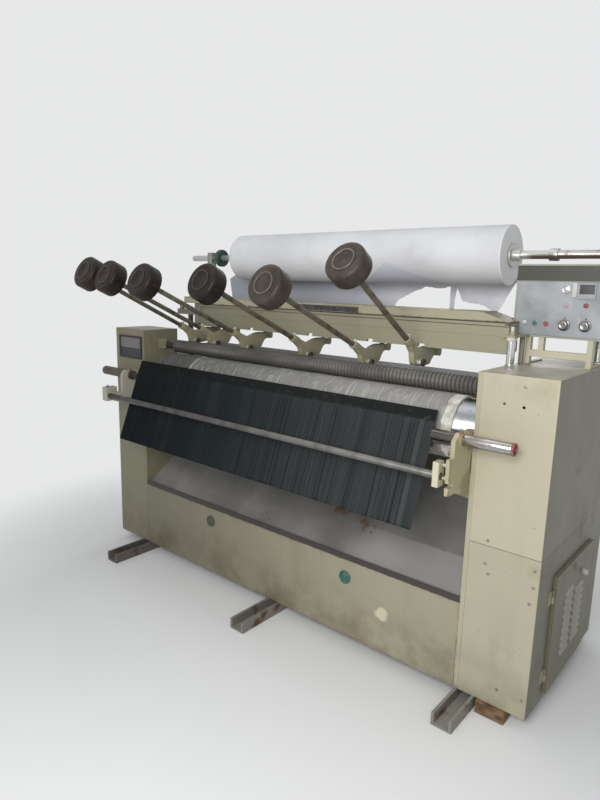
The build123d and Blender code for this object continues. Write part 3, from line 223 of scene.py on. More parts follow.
bpy.context.scene.world = bpy.data.worlds.new("room")
look = Finish("room", bpy.context.scene.world)
room_light = look.node("Background", inputs={"Color": (0.92, 0.95, 1, 1), "Strength": 0.36})
room_wall = look.node("Background", inputs={"Color": backdrop, "Strength": 1.0})
room_mix = look.node("MixShader", inputs={0: looked_at(look), 1: room_light, 2: room_wall})
look.node("OutputWorld", inputs={"Surface": room_mix})

for lamp_name, lamp_place, lamp_aim, lamp_size, lamp_power in (
        ("key_lamp", (1.4, -3.05, 2.05), (0.1, 0, 0.95), 1.6, 70),
        ("top_lamp", (-0.6, -0.6, 4.2), (0, 0, 0.8), 3.0, 21),
        ("rear_lamp", (-1.2, 3.6, 1.9), (0, 0.3, 0.9), 2.4, 42)):
    lamp_data = bpy.data.lights.new(lamp_name, "AREA")
    lamp_data.size = lamp_size
    lamp_data.energy = lamp_power
    lamp = bpy.data.objects.new(lamp_name, lamp_data)
    bpy.context.scene.collection.objects.link(lamp)
    lamp.location = lamp_place
    lamp.rotation_euler = (Vector(lamp_aim) - Vector(lamp_place)).to_track_quat("-Z", "Y").to_euler()

# Three skids of steel channel with their legs up carry the machine off the floor, with a wooden packer
# under the right front corner. The channels are grey with rust, and dusty.


def dress(node, material, edge=0.0015):
    """Gives a CAD node its material, and rounds its sharp edges by a bevel."""
    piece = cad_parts[node]
    piece.data.materials.clear()
    piece.data.materials.append(material)
    if edge:
        weld = piece.modifiers.new("weld", "WELD")
        weld.merge_threshold = 0.00001
        flat = piece.modifiers.new("flat", "DECIMATE")
        flat.decimate_type = "DISSOLVE"
        flat.angle_limit = radians(0.5)
        rounding = piece.modifiers.new("rounding", "BEVEL")
        rounding.width = edge
        rounding.segments = 2
        rounding.limit_method = "ANGLE"
        rounding.angle_limit = radians(40)
        rounding.harden_normals = True
    return piece


look = Finish("skid_finish")
skid_rust = look.cloud(14, 6).ramp(0.52, 0.66)
look.base(look.cloud(5, 5), (112, 109, 102), (146, 142, 134))
look.layer(skid_rust, (96, 68, 46))
look.layer(look.facing_up() * 0.5, (150, 146, 138))
# Painted shade darkens the skids towards the left.
look.layer(look.along("X").ramp(0.4, -0.9) * 0.6, (56, 50, 45))
skid_finish = look.close(Roughness=skid_rust * 0.25 + 0.6, Normal=look.grain(0.0006, 90, 5))
dress("skids", skid_finish, 0.002)

look = Finish("packer_finish")
packer_grain = look.cloud(18, 7, (1, 0.12, 2.4))
look.base(packer_grain.ramp(0.3, 0.7), (72, 55, 38), (140, 112, 80))
packer_finish = look.close(Roughness=0.85, Normal=look.bump(packer_grain, 0.0015))
dress("wood_packer", packer_finish, 0.003)

# The body is folded steel sheet between two thick iron side frames, all sprayed cream long ago: grimy in
# streaks, speckled with dark chips, worn along the edges, and dusty on top.


def sprayed(name, colour, box_nodes=(), grime=1.0, dust=0.5, spots=(), low_dirt=0.6, lines=(), shade=None):
    """Old cream spray paint. The edges of the boxes of box_nodes are worn, and spots are round marks, given
    as (x, y, z, radius, colour, strength): stains, and a painted shadow on the beam. Lines are dirt in level
    grooves, as (z, half width, strength), and shade is painted shade that deepens along an axis, as (axis,
    start, full, strength)."""
    finish = Finish(name)
    colour = tone(*colour)
    light = tuple(min(1, part * 1.08) for part in colour[:3]) + (1,)
    finish.colour = finish.mix(finish.cloud(2.2, 5).ramp(0.3, 0.7), colour, light)
    streak = finish.cloud(7, 6, (1, 1, 0.12)).ramp(0.5, 0.8)
    finish.layer(streak * (0.4 * grime), (118, 108, 82))
    blotch = finish.cloud(5.5, 7, rough=0.65).ramp(0.56, 0.74)
    finish.layer(blotch * (0.34 * grime), (104, 94, 70))
    if low_dirt:
        floor_dirt = finish.along("Z").ramp(0.34, 0.05) * finish.cloud(9, 5).ramp(0.35, 0.7)
        finish.layer(floor_dirt * low_dirt, (96, 84, 62))
    chip = finish.grit(34).ramp(0.075, 0.045) * finish.cloud(6, 2).ramp(0.5, 0.6)
    for node in box_nodes:
        low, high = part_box(node)
        gaps = []
        for axis, letter in enumerate("XYZ"):
            value = finish.along(letter)
            gaps.append((value - low[axis]).size().least((value - high[axis]).size()))
        near, far = gaps[0].least(gaps[1]), gaps[0].most(gaps[1])
        edge = near.most(far.least(gaps[2]))
        ragged = edge - (finish.cloud(26, 6, rough=0.7) - 0.5) * 0.022
        chip = chip.most(ragged.ramp(0.0015, -0.0005))
        worn = (edge - (finish.cloud(11, 5) - 0.5) * 0.06).ramp(0.012, 0)
        finish.layer(worn * 0.35, (132, 120, 92))
    for x, y, z, radius, stain, strength in spots:
        ragged = finish.gap_to(x, y, z) + (finish.cloud(30, 5) - 0.5) * (radius * 1.2)
        shape = ragged.ramp(radius, radius * 0.55)
        finish.layer(shape * strength, stain)
    # Painted shade that deepens along an axis.
    if shade:
        axis, start, full, strength = shade
        finish.layer(finish.along(axis).ramp(start, full) * strength, (56, 54, 42))
    for z, half_width, strength in lines:
        gap = (finish.along("Z") - z + (finish.cloud(20, 4) - 0.5) * 0.0008).size()
        finish.layer(gap.ramp(half_width * 1.5, half_width * 0.5) * strength, (66, 54, 42))
    finish.layer(chip * 0.85, (84, 66, 48))
    finish.layer(finish.facing_up() * finish.cloud(12, 5).ramp(0.2, 0.7) * dust, (128, 124, 116))
    skin = finish.bump(finish.cloud(420, 2), 0.00012)
    skin = finish.bump(finish.cloud(3.5, 2), 0.003, skin)
    skin = finish.bump(1 - chip, 0.0002, skin)
    return finish.close(Normal=skin, Roughness=finish.cloud(8, 5) * 0.2 + blotch * 0.15 + 0.36)


front_y = -0.388
# The left end's cream is a darker tone of the same paint: painted shade.
shaded_left_cream = (122, 118, 97)
dress("side_frame_left", sprayed("left_frame_paint", shaded_left_cream, ("left_housing",)), 0.0015)
dress("side_frame_right", sprayed("frame_paint", (172, 166, 140)), 0.0015)

panel_spots = [(0.62, front_y, 0.22, 0.035, (214, 206, 178), 0.8),
               (-0.05, front_y, 0.15, 0.06, (120, 108, 80), 0.2),
               (0.5, front_y, 0.10, 0.10, (110, 96, 70), 0.2)]
# The panel gets painted shade that deepens towards its left end.
dress("front_panel", sprayed("front_panel_paint", (154, 149, 127), ("front_panel",), grime=0.55,
                             spots=panel_spots, shade=("X", 0.8, -0.9, 0.5)), 0.0015)
dress("rear_panel", sprayed("rear_panel_paint", (152, 148, 124), ("rear_panel",)), 0.0015)

# Two moulded plastic plugs close round holes in the front panel: a flat flange with a sunk, domed cap.
# The right one is green, and the left one is darkened by painted shade.


def begin(add, name, **where):
    """Adds a primitive at its size and place, alone and in edit mode."""
    alone()
    add(**where)
    piece = bpy.context.object
    piece.name = name
    piece.data.name = name
    bpy.ops.object.transform_apply(location=True, rotation=True, scale=True)
    bpy.ops.object.mode_set(mode="EDIT")
    bpy.ops.mesh.select_all(action="SELECT")
    return piece


def pick(piece, what, test):
    """Selects the faces or the edges that pass a test, by their place or normal."""
    bpy.ops.mesh.select_mode(type=what)
    bpy.ops.mesh.select_all(action="DESELECT")
    shape = bmesh.from_edit_mesh(piece.data)
    for part in list(shape.faces if what == "FACE" else shape.edges):
        if test(part):
            part.select_set(True)
    bmesh.update_edit_mesh(piece.data)


def faces_along(piece, direction, *insets, test=None):
    """Selects the faces that look along a direction, and insets them by each pair of width and depth."""
    aim = Vector(direction)
    pick(piece, "FACE", lambda face: face.normal.dot(aim) > 0.9
         and (test is None or test(face.calc_center_median())))
    for width, depth in insets:
        bpy.ops.mesh.inset(thickness=width, depth=depth)


def round_edges(piece, width, segments=2, angle=32):
    """Rounds every edge that is sharper than an angle."""
    def sharp(edge):
        return len(edge.link_faces) == 2 and edge.calc_face_angle(0) > radians(angle)
    pick(piece, "EDGE", sharp)
    bpy.ops.mesh.bevel(offset=width, segments=segments, affect="EDGES", clamp_overlap=True)


def take(piece):
    """Makes a piece the only selected one, and the active one."""
    alone()
    piece.select_set(True)
    bpy.context.view_layer.objects.active = piece


def end(piece, material, body="machine", slot=None, stands_for=(), smooth=38):
    """Leaves edit mode, smooths the piece by angle, and gives it its material and body. The slot is not
    used.
    """
    take(piece)
    bpy.ops.object.shade_smooth_by_angle(angle=radians(smooth))
    piece.data.materials.clear()
    piece.data.materials.append(material)
    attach(piece, body)
    if stands_for:
        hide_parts(*stands_for)
    return piece


def join(name, pieces):
    """Joins pieces into the first one, under a new name."""
    alone()
    for piece in pieces:
        piece.select_set(True)
    bpy.context.view_layer.objects.active = pieces[0]
    bpy.ops.object.join()
    pieces[0].name = name
    pieces[0].data.name = name
    return pieces[0]


def copy_of(piece, name, matrix):
    """A copy with its own mesh, moved by a matrix."""
    mesh = piece.data.copy()
    mesh.name = name
    mesh.transform(matrix)
    twin = bpy.data.objects.new(name, mesh)
    bpy.context.scene.collection.objects.link(twin)
    return twin


def spread(name, piece, places):
    """Copies a piece to each of the places, joins the copies, and removes the piece."""
    alone()
    twins = [copy_of(piece, name, Matrix.Translation(place)) for place in places]
    bpy.data.objects.remove(piece)
    return join(name, twins)


def rod(name, start, finish, radius, sides=32):
    """A round bar between two points, in edit mode."""
    first, last = Vector(start), Vector(finish)
    turn = (last - first).to_track_quat("Z", "Y").to_euler()
    return begin(bpy.ops.mesh.primitive_cylinder_add, name, vertices=sides, radius=radius,
                 depth=(last - first).length, location=(first + last) / 2, rotation=turn)


def bar(name, box):
    """A block between the corners of a box (x0, x1, y0, y1, z0, z1), in edit mode."""
    x0, x1, y0, y1, z0, z1 = box
    middle = ((x0 + x1) / 2, (y0 + y1) / 2, (z0 + z1) / 2)
    return begin(bpy.ops.mesh.primitive_cube_add, name, size=1, location=middle,
                 scale=(x1 - x0, y1 - y0, z1 - z0))


to_front, to_right, to_left = (0, -1, 0), (1, 0, 0), (-1, 0, 0)
look = Finish("plug_finish")
look.base(look.cloud(60, 5).ramp(0.4, 0.7), (38, 92, 86), (86, 110, 100))
# Painted shade darkens the left plug.
look.layer(look.along("X").ramp(0.1, -0.1), (70, 74, 62))
plug_finish = look.close(Roughness=0.5, Normal=look.grain(0.0001, 300, 3))
plug_radius, plug_height = 0.029, 0.004
plug = rod("plug", (0, front_y, 0), (0, front_y - plug_height, 0), plug_radius, 48)
faces_along(plug, to_front, (0.006, 0), (0.001, -0.0022), (0.003, 0), (0.002, 0.0025), (0.006, 0.0012))
round_edges(plug, 0.0006)
end(spread("front_plugs", plug, ((-0.421, 0, 0.326), (0.432, 0, 0.316))), plug_finish, slot="plug_plastic",
    stands_for=["panel_plugs"])

# The deck is a grey sheet that rises to the rear under the drum, with a lip at its front. It is dusty,
# flecked with dark spots, and has rusty patches where something stood.
look = Finish("deck_finish")
look.base(look.cloud(3, 6).ramp(0.3, 0.7), (112, 110, 106), (146, 144, 140))
deck_pale = look.cloud(1.7, 5).ramp(0.5, 0.72)
look.layer(deck_pale * 0.6, (160, 158, 154))
# The sheet is swept paler in front of the drum, towards its right end.
deck_swept = (look.along("Y") + look.cloud(12, 5) * 0.01).ramp(-0.222, -0.232)
look.layer(look.along("X").ramp(0.3, 0.6) * deck_swept * 0.6, (170, 168, 166))
for spot_x, spot_y, spot_z, spot_size in ((0.27, -0.20, 0.55, 0.07), (0.42, -0.24, 0.53, 0.055),
                                          (0.33, -0.30, 0.49, 0.03), (-0.5, -0.1, 0.6, 0.06)):
    patch = look.gap_to(spot_x, spot_y, spot_z) + (look.cloud(24, 6) - 0.5) * (spot_size * 2.2)
    patch = patch.ramp(spot_size, spot_size * 0.4)
    look.layer(patch * 0.75, (104, 66, 44))
deck_speck = look.grit(16).ramp(0.09, 0.05) * look.cloud(4, 2).ramp(0.48, 0.56)
look.layer(deck_speck * 0.8, (58, 48, 42))
deck_fleck = look.cloud(140, 3).ramp(0.62, 0.72)
look.layer(deck_fleck * 0.25, (84, 80, 76))
deck_edge = (look.along("Y") + 0.3865).size().ramp(0.0040, 0.0025)
look.layer(deck_edge * 0.95, (50, 44, 40))
deck_finish = look.close(Roughness=deck_pale * 0.2 + 0.55, Normal=look.grain(0.0004, 60, 5))
dress("deck", deck_finish, 0.0012)

# The left housing closes the left end: a sheet shell with a raised box at the front, which has a window
# in a black rubber rim with a dial plate behind it, and a small square cover on its inner side.
dress("left_housing", sprayed("left_housing_paint", shaded_left_cream, ("left_housing",)), 0.002)


def mottled(name, cloud, first, second, ramp=None, grain=None, **inputs):
    """A finish of two tones that mix in a cloud, with a fine grain."""
    finish = Finish(name)
    share = finish.cloud(*cloud)
    finish.base(share.ramp(*ramp) if ramp else share, first, second)
    if grain:
        inputs["Normal"] = finish.grain(*grain)
    return finish.close(**inputs)


rubber_finish = mottled("rubber_finish", (20, 5), (20, 20, 21), (46, 45, 43), grain=(0.0001, 500, 2),
                        Roughness=0.55)
window_low, window_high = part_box("panel_window")
window_rim = bar("window_rim", (window_low.x, window_high.x, window_low.y, window_high.y,
                                window_low.z, window_high.z))
faces_along(window_rim, to_front, (0.010, 0), (0.0004, -0.0055))
round_edges(window_rim, 0.0018, 3)
end(window_rim, rubber_finish, slot="black_plastic", stands_for=["panel_window"])

look = Finish("pane_finish")
pane_high = look.along("Z").ramp(1.163, 1.165)
look.base(pane_high, (24, 28, 31), (112, 108, 110))
look.layer(look.cloud(18, 4) * 0.25, (88, 86, 80))
pane_finish = look.close(Roughness=0.45)
rim_width = 0.0105
pane = bar("window_pane", (window_low.x + rim_width, window_high.x - rim_width, front_y - 0.0035,
                           front_y - 0.0020, window_low.z + rim_width, window_high.z - rim_width))
faces_along(pane, to_front, (0.004, 0), (0.0004, -0.0004))
end(pane, pane_finish, slot="black_plastic")

cover_box = (-0.9565, -0.9552, -0.292, -0.240, 1.163, 1.215)
cover_plate = bar("square_cover", cover_box)
faces_along(cover_plate, to_right, (0.004, 0), (0.0004, -0.0006))
round_edges(cover_plate, 0.0004)
end(cover_plate, sprayed("square_cover_paint", (152, 147, 120), low_dirt=0), slot="cream_paint")

# The right housing is a lower cabinet and an upper cover of the same sheet, with a shut line between
# them. Small screws hold the sheets, and some are only dark holes now.
housing_spots = [(1.05, front_y, 1.16, 0.006, (70, 60, 48), 0.9),
                 (1.19, front_y, 1.22, 0.03, (170, 160, 130), 0.4),
                 (0.962, front_y, 0.74, 0.02, (150, 118, 82), 0.3)]
# The right side faces of the cabinet and the cover are darkened by painted shade.
side_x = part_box("right_cabinet")[1].x
side_shade = ("X", side_x - 0.004, side_x - 0.001, 0.68)
shut_line = ((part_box("right_cover")[0].z, 0.0012, 0.8),)
dress("right_cabinet", sprayed("cabinet_paint", (172, 167, 145), grime=0.6, spots=housing_spots,
                               low_dirt=0.35, lines=shut_line, shade=side_shade), 0.002)
dress("right_cover", sprayed("cover_paint", (181, 175, 152), grime=0.6, dust=0.8, spots=housing_spots[:2],
                             low_dirt=0, lines=shut_line, shade=side_shade), 0.002)

look = Finish("zinc_finish")
zinc_cloud = look.cloud(40, 5)
look.base(zinc_cloud.ramp(0.45, 0.7), (150, 148, 142), (92, 78, 62))
zinc_finish = look.close(Metallic=0.9, Roughness=zinc_cloud * 0.3 + 0.3, Normal=look.grain(0.0001, 400, 2))
screw_radius, screw_height = 0.0052, 0.0022
screw = rod("screw", (0, front_y, 0), (0, front_y - screw_height, 0), screw_radius, 20)
faces_along(screw, to_front, (0.0016, 0.0007), (0.0020, 0), (0.0003, -0.0012))
screw_places = ((1.036, 0, 0.668), (1.032, 0, 0.580), (1.047, 0, 0.545), (1.205, 0, 0.608),
                (1.205, 0, 0.548), (1.197, 0, 0.487), (1.116, 0, 0.12), (1.116, 0, 1.225), (1.205, 0, 0.12))
end(spread("housing_screws", screw, screw_places), zinc_finish, slot="zinc")

# The drive compartment's door is a shallow pressed pan with two columns of louvres, hung on two loose
# hinges, with a turning knob and a round lock.
# The door's cream is a darker tone than the cabinet's: painted shade on the right side.
dress("door", sprayed("door_paint", (106, 103, 84), ("door",), dust=0.3), 0.0008)
dress("door_hinges", sprayed("hinge_paint", (150, 142, 116), low_dirt=0), 0.0006)
hood_root, hood_middle, hood_face, hood_lean, hood_corner = 1.2395, 1.245, 1.2467, 0.0068, 0.0028
hood_low, hood_high, hood_pitch = 0.1805, 0.1965, 0.030
louvres = []
for hood_front, hood_rear, hood_count in ((-0.119, -0.027, 9), (0.001, 0.108, 8)):
    hood = bar("hood", (hood_root, hood_face, hood_front, hood_rear, hood_low, hood_high))
    pick(hood, "EDGE",
         lambda edge: all(v.co.x > hood_middle and v.co.z > hood_high - 0.001 for v in edge.verts))
    bpy.ops.transform.translate(value=(-hood_lean, 0, 0))
    pick(hood, "EDGE", lambda edge: any(v.co.x > hood_middle for v in edge.verts))
    bpy.ops.mesh.bevel(offset=hood_corner, segments=3, affect="EDGES", clamp_overlap=True)
    louvres.append(spread("louvre_column", hood, [(0, 0, hood_pitch * step) for step in range(hood_count)]))
end(join("door_louvres", louvres), sprayed("louvre_paint", (150, 147, 134), low_dirt=0), body="door",
    slot="cream_paint")

knob_finish = mottled("door_knob_finish", (80, 4), (196, 194, 188), (150, 147, 138), Roughness=0.4)
knob_root, knob_end, knob_radius = 1.2398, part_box("door_knob")[1].x, 0.013
knob_y, knob_z = 0.091, 0.447
door_knob = rod("door_knob_cap", (knob_root, knob_y, knob_z), (knob_end, knob_y, knob_z), knob_radius, 40)
faces_along(door_knob, to_right, (0.002, 0), (0.0005, -0.001), (0.004, 0.0005))
round_edges(door_knob, 0.0008)
end(door_knob, knob_finish, body="door_knob", slot="black_plastic")
dress("door_knob", knob_finish, 0.0005)

# A geared motor in a cast case, painted blue grey, stands inside the right housing and drives the drum's
# journal. The closed housing hides it.
motor_finish = mottled("motor_finish", (9, 5), (58, 78, 82), (94, 108, 106), grain=(0.0004, 160, 4),
                       Roughness=0.5)
dress("drive_motor", motor_finish, 0.004)

# The drum is a turned steel shell. A felt blanket covers it up to a hand's breadth from its right end, and
# a creased, dusty paper wrap covers the felt up to a ragged edge.
look = Finish("drum_finish")
drum_lathe = look.cloud(3, 6, (160, 1, 1))
drum_stain = look.cloud(24, 6).ramp(0.5, 0.72)
look.base(drum_stain * 0.5, (158, 161, 164), (120, 117, 110))
drum_finish = look.close(Metallic=1.0, Roughness=drum_stain * 0.25 + 0.24,
                         Normal=look.bump(drum_lathe, 0.0002))
drum_y, drum_z, drum_radius = -0.268, 1.025, 0.112
drum_left, drum_right, end_depth = -0.874, 0.947, 0.0012
sheet_left = -0.868
drum_low, drum_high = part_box("drum")


def extrude(distance):
    """Extrudes the selected faces along X."""
    bpy.ops.mesh.extrude_region_move(TRANSFORM_OT_translate={"value": (distance, 0, 0)})


drum = rod("drum_shell", (drum_left, drum_y, drum_z), (drum_right, drum_y, drum_z), drum_radius, 144)
for side in (-1, 1):
    faces_along(drum, (side, 0, 0), (0.004, 0), (0.0012, -end_depth), (0.0818, 0))
    extrude(drum_high.x - (drum_right - end_depth) if side > 0 else drum_low.x - (drum_left + end_depth))
round_edges(drum, 0.0012)
end(drum, drum_finish, body="drum", slot="drum_steel", stands_for=["drum"])


def edit(piece):
    """Opens a piece in edit mode, with all of it selected."""
    take(piece)
    bpy.ops.object.mode_set(mode="EDIT")
    bpy.ops.mesh.select_all(action="SELECT")


def face_out():
    """Turns every face of the open piece outwards."""
    bpy.ops.mesh.select_all(action="SELECT")
    bpy.ops.mesh.normals_make_consistent(inside=False)


def wall(piece, thickness, offset):
    """Gives a sheet its thickness: outwards from its points for offset 1, and inwards for -1."""
    take(piece)
    solid = piece.modifiers.new("wall", "SOLIDIFY")
    solid.thickness = thickness
    solid.offset = offset
    bpy.ops.object.modifier_apply(modifier="wall")


def tube(name, sheet_right, radius, thickness, turns, lengths, ragged, wrinkle, seed):
    """A sheet wrapped round the drum, with a ragged right edge and slight wrinkles."""
    alone()
    bpy.ops.mesh.primitive_grid_add(x_subdivisions=lengths, y_subdivisions=turns, size=1)
    piece = bpy.context.object
    piece.name = name
    piece.data.name = name
    for vertex in piece.data.vertices:
        share, angle = vertex.co.x + 0.5, (vertex.co.y + 0.5) * 2 * pi
        spin = Vector((cos(angle), sin(angle), 0))
        shift = Vector((0, 0, seed))
        tear = ragged * (noise.noise(spin * 4 + shift) + 0.5 * noise.noise(spin * 17 + shift))
        x = sheet_left + (sheet_right - sheet_left) * share + tear * max(0, (share - 0.8) * 5) ** 3
        crease = noise.noise(Vector((x * 9, spin.x * 2.2, spin.y * 2.2 + seed)))
        fine = noise.noise(Vector((x * 60, spin.x * 9, spin.y * 9 + seed)))
        curl = 1.5 * max(0, (share - 0.97) * 33) ** 2
        r = radius + wrinkle * (crease * 0.8 + fine * 0.35 + curl)
        vertex.co = (x, drum_y + r * spin.x, drum_z + r * spin.y)
    edit(piece)
    bpy.ops.mesh.remove_doubles(threshold=0.00002)
    face_out()
    wall(piece, thickness, 1)
    return piece


look = Finish("felt_finish")
felt_fibre = look.cloud(260, 6, rough=0.7)
look.base(look.cloud(30, 5).ramp(0.35, 0.7), (222, 221, 214), (176, 172, 160))
look.layer(look.cloud(9, 6).ramp(0.6, 0.75) * 0.5, (120, 104, 88))
felt_finish = look.close(Roughness=0.95, Sheen_Weight=0.4, Normal=look.bump(felt_fibre, 0.0008))
felt = tube("drum_felt", 0.864, radius=0.1125, thickness=0.0075, turns=128, lengths=60, ragged=0.003,
            wrinkle=0.0004, seed=3.0)
end(felt, felt_finish, body="drum", slot="felt", stands_for=["drum_blanket"])

look = Finish("wrap_finish")
# The wrap is darker towards the left: painted shade.
wrap_shade = look.along("X").ramp(-0.75, 0.5)
look.base(wrap_shade, (96, 97, 92), (152, 150, 146))
look.layer(look.cloud(5, 7, rough=0.65).ramp(0.35, 0.75) * 0.55, (98, 96, 92))
look.layer(look.cloud(70, 5, (1, 0.3, 0.3)).ramp(0.48, 0.72) * 0.4, (196, 194, 188))
# Thin pale lines run round the wrap where pleats were pressed, slightly aslant.
slant = look.along("X") + look.along("Z") * 0.16
wrap_lines = 0
for line_x, line_width in ((-0.61, 0.0014), (-0.11, 0.0012), (0.137, 0.0016), (0.155, 0.0010),
                           (0.173, 0.0014), (0.452, 0.0012), (0.561, 0.0018), (0.583, 0.0012),
                           (0.711, 0.0012), (0.86, 0.0014), (0.93, 0.0012)):
    wrap_lines = (slant - line_x).size().ramp(line_width, line_width * 0.35).most(wrap_lines)
look.layer(wrap_lines * look.cloud(25, 3).ramp(0.3, 0.5), (224, 223, 220))
wrap_rib = look.cloud(4, 2, (90, 1, 1))
look.layer(wrap_rib.ramp(0.45, 0.75) * 0.3, (120, 118, 114))
# Left of x -0.6 the wrap is darker still: painted shadow. A pale line marks the wrap's start.
wrap_start = look.along("X") + 0.600
look.layer(wrap_start.ramp(-0.002, -0.03) * 0.6, (50, 49, 46))
look.layer(wrap_start.size().ramp(0.006, 0.002) * 0.6, (206, 204, 198))
wrap_finish = look.close(Roughness=0.85,
                         Normal=look.bump(look.cloud(120, 5), 0.0003, look.bump(wrap_lines, 0.0006)))
wrap = tube("drum_wrap", 0.822, radius=0.1203, thickness=0.0016, turns=160, lengths=240, ragged=0.009,
            wrinkle=0.0011, seed=7.0)
end(wrap, wrap_finish, body="drum", slot="felt")

look = Finish("bush_finish")
bush_finish = look.close(Base_Color=tone(112, 108, 98), Metallic=0.5,
                         Roughness=look.cloud(90, 4) * 0.3 + 0.3)
dress("shaft_bearings", bush_finish, 0.001)

# The grooved roller is turned from steel, with a ring groove for every pleat, and dark with old oil. It
# lies on the wrap, and its necks turn in the side frames.
look = Finish("roller_finish")
roller_y, roller_z = -0.233, 1.18
roller_oil = look.cloud(9, 6, (0.5, 1, 1)).ramp(0.35, 0.7)
look.base(roller_oil, (108, 106, 100), (80, 78, 73))
gap_y, gap_z = look.along("Y") - roller_y, look.along("Z") - roller_z
# The groove bottoms are darker: old oil and painted shade.
groove_oil_and_shade = (gap_y * gap_y + gap_z * gap_z).root().ramp(0.0335, 0.0295)
look.layer(groove_oil_and_shade * 0.55, (62, 60, 57))
# Painted shade darkens the roller towards the left.
look.layer(look.along("X").ramp(0.5, -0.8) * 0.55, (52, 50, 48))
roller_finish = look.close(Metallic=0.3, Roughness=roller_oil * 0.2 + 0.42, Normal=look.grain(0.0002, 90, 5))


def from_points(name, points, edges=(), faces=()):
    """A piece of the given points, selected alone."""
    mesh = bpy.data.meshes.new(name)
    mesh.from_pydata(points, edges, faces)
    piece = bpy.data.objects.new(name, mesh)
    bpy.context.scene.collection.objects.link(piece)
    take(piece)
    return piece


def spun(name, outline, y, z, steps, closed=False):
    """An outline of points (x, radius), turned round an axis along X, in edit mode."""
    edges = [(k, k + 1) for k in range(len(outline) - 1)]
    if closed:
        edges.append((len(outline) - 1, 0))
    piece = from_points(name, [(x, y, z + r) for x, r in outline], edges)
    edit(piece)
    bpy.ops.mesh.spin(steps=steps, angle=2 * pi, center=(0, y, z), axis=(1, 0, 0))
    bpy.ops.mesh.select_all(action="SELECT")
    bpy.ops.mesh.remove_doubles(threshold=0.00001)
    return piece


roller_radius, neck_radius = 0.0346, 0.015
roller_left, roller_right, left_neck, right_neck = -0.867, 0.945, -0.992, 0.981
groove_pitch, groove_count = 0.0171, 104
groove = ((-0.0006, 0), (0.0008, 0.0008), (0.0028, 0.0042), (0.0040, 0.0049), (0.0052, 0.0042),
          (0.0072, 0.0008), (0.0086, 0))
outline = [(left_neck, neck_radius), (-0.869, neck_radius), (-0.8685, 0.0155), (-0.8675, 0.0340),
           (-0.8668, roller_radius)]
for step in range(groove_count):
    groove_x = roller_left + 0.0128 + groove_pitch * step
    outline += [(groove_x + along, roller_radius - deep) for along, deep in groove]
outline += [(roller_right - 0.0008, roller_radius), (roller_right, 0.0340), (roller_right + 0.0005, 0.0155),
            (roller_right + 0.001, neck_radius), (right_neck, neck_radius)]
roller = spun("roller_body", outline, roller_y, roller_z, 40)
for rim_x in (left_neck, right_neck):
    pick(roller, "EDGE", lambda edge: all(abs(v.co.x - rim_x) < 0.00001 for v in edge.verts))
    bpy.ops.mesh.edge_face_add()
face_out()
end(roller, roller_finish, body="roller", slot="roller_steel", stands_for=["grooved_roller"], smooth=50)

look = Finish("iron_finish")
iron_cloud = look.cloud(30, 6)
look.base(iron_cloud.ramp(0.35, 0.7), (62, 58, 54), (96, 88, 78))
iron_finish = look.close(Metallic=0.4, Roughness=iron_cloud * 0.25 + 0.42, Normal=look.grain(0.0003, 200, 5))

# The pressure bar is a folded steel tray behind the roller, and the levers' feet press on it. It is dusty,
# and its front edge is dark with oil.
look = Finish("tray_finish")
tray_dirt = look.cloud(9, 6, (0.4, 1, 1)).ramp(0.45, 0.75)
# The bar is darker towards the left: painted shade.
look.base(look.along("X").ramp(-0.9, 0.6), (104, 102, 97), (128, 130, 128))
look.layer(tray_dirt * 0.5, (98, 92, 82))
look.layer(look.along("Y").ramp(-0.154, -0.157), (70, 66, 60))
tray_finish = look.close(Roughness=0.75, Normal=look.grain(0.0002, 200, 5))
dress("pressure_bar", tray_finish, 0.0012)

# The chute is a steel plate that slopes down from the drum at 70 degrees. The dark cloth on it lies in
# narrow knife pleats, flat along its top edge and in a plain margin at its right.
plate_finish = mottled("chute_finish", (20, 5), (60, 60, 60), (98, 94, 88), grain=(0.0002, 150, 4),
                       Metallic=0.3, Roughness=0.5)
dress("chute_plate", plate_finish, 0.001)

cloth_left, cloth_right, cloth_length = -0.973, 0.813, 0.438
slope = radians(70)
cloth_top = Vector((0, -0.404, 1.105))
down = Vector((0, -cos(slope), -sin(slope)))
outward = Vector((0, -sin(slope), cos(slope)))
margin, pleat_rise = 0.060, 0.0078
draw = Random(11)
pleats = []
here = cloth_left
while here < cloth_right - margin - 0.004:
    width = draw.uniform(0.0085, 0.0145)
    if draw.random() < 0.07:
        width *= 1.6
    width = min(width, cloth_right - margin - here)
    pleats.append((here, width, draw.uniform(0.6, 1.0), draw.uniform(-1, 1), draw.random()))
    here += width
# Across one pleat: how far along its width, how high, and how light it is painted, as painted shade.
pleat_steps = ((0, 0, 0), (0.10, 0.72, 0.75), (0.22, 0.94, 1), (0.55, 0.90, 1), (0.82, 0.70, 0.9),
               (0.97, 0.30, 0.45))
columns = []
for start, width, height, drift, chance in pleats:
    # Some pleats get darker painted shade, at random.
    dim = 0.40 + 0.60 * min(1, chance * 1.5)
    for share, level, light in pleat_steps:
        columns.append((start + width * share, level, height, drift, light * dim))
margin_start = pleats[-1][0] + pleats[-1][1]
margin_steps = 8
for step in range(margin_steps + 1):
    columns.append((margin_start + (cloth_right - margin_start) * step / margin_steps, 0.42, 1.0, 0.0, 0.55))
rows = [0, 0.006, 0.012, 0.024, 0.036, 0.043, 0.048, 0.056, 0.07, 0.1, 0.14, 0.18, 0.22, 0.26, 0.3, 0.34,
        0.37, 0.395, 0.41, 0.42, 0.426, 0.431, 0.435, 0.438]
points, shades = [], []
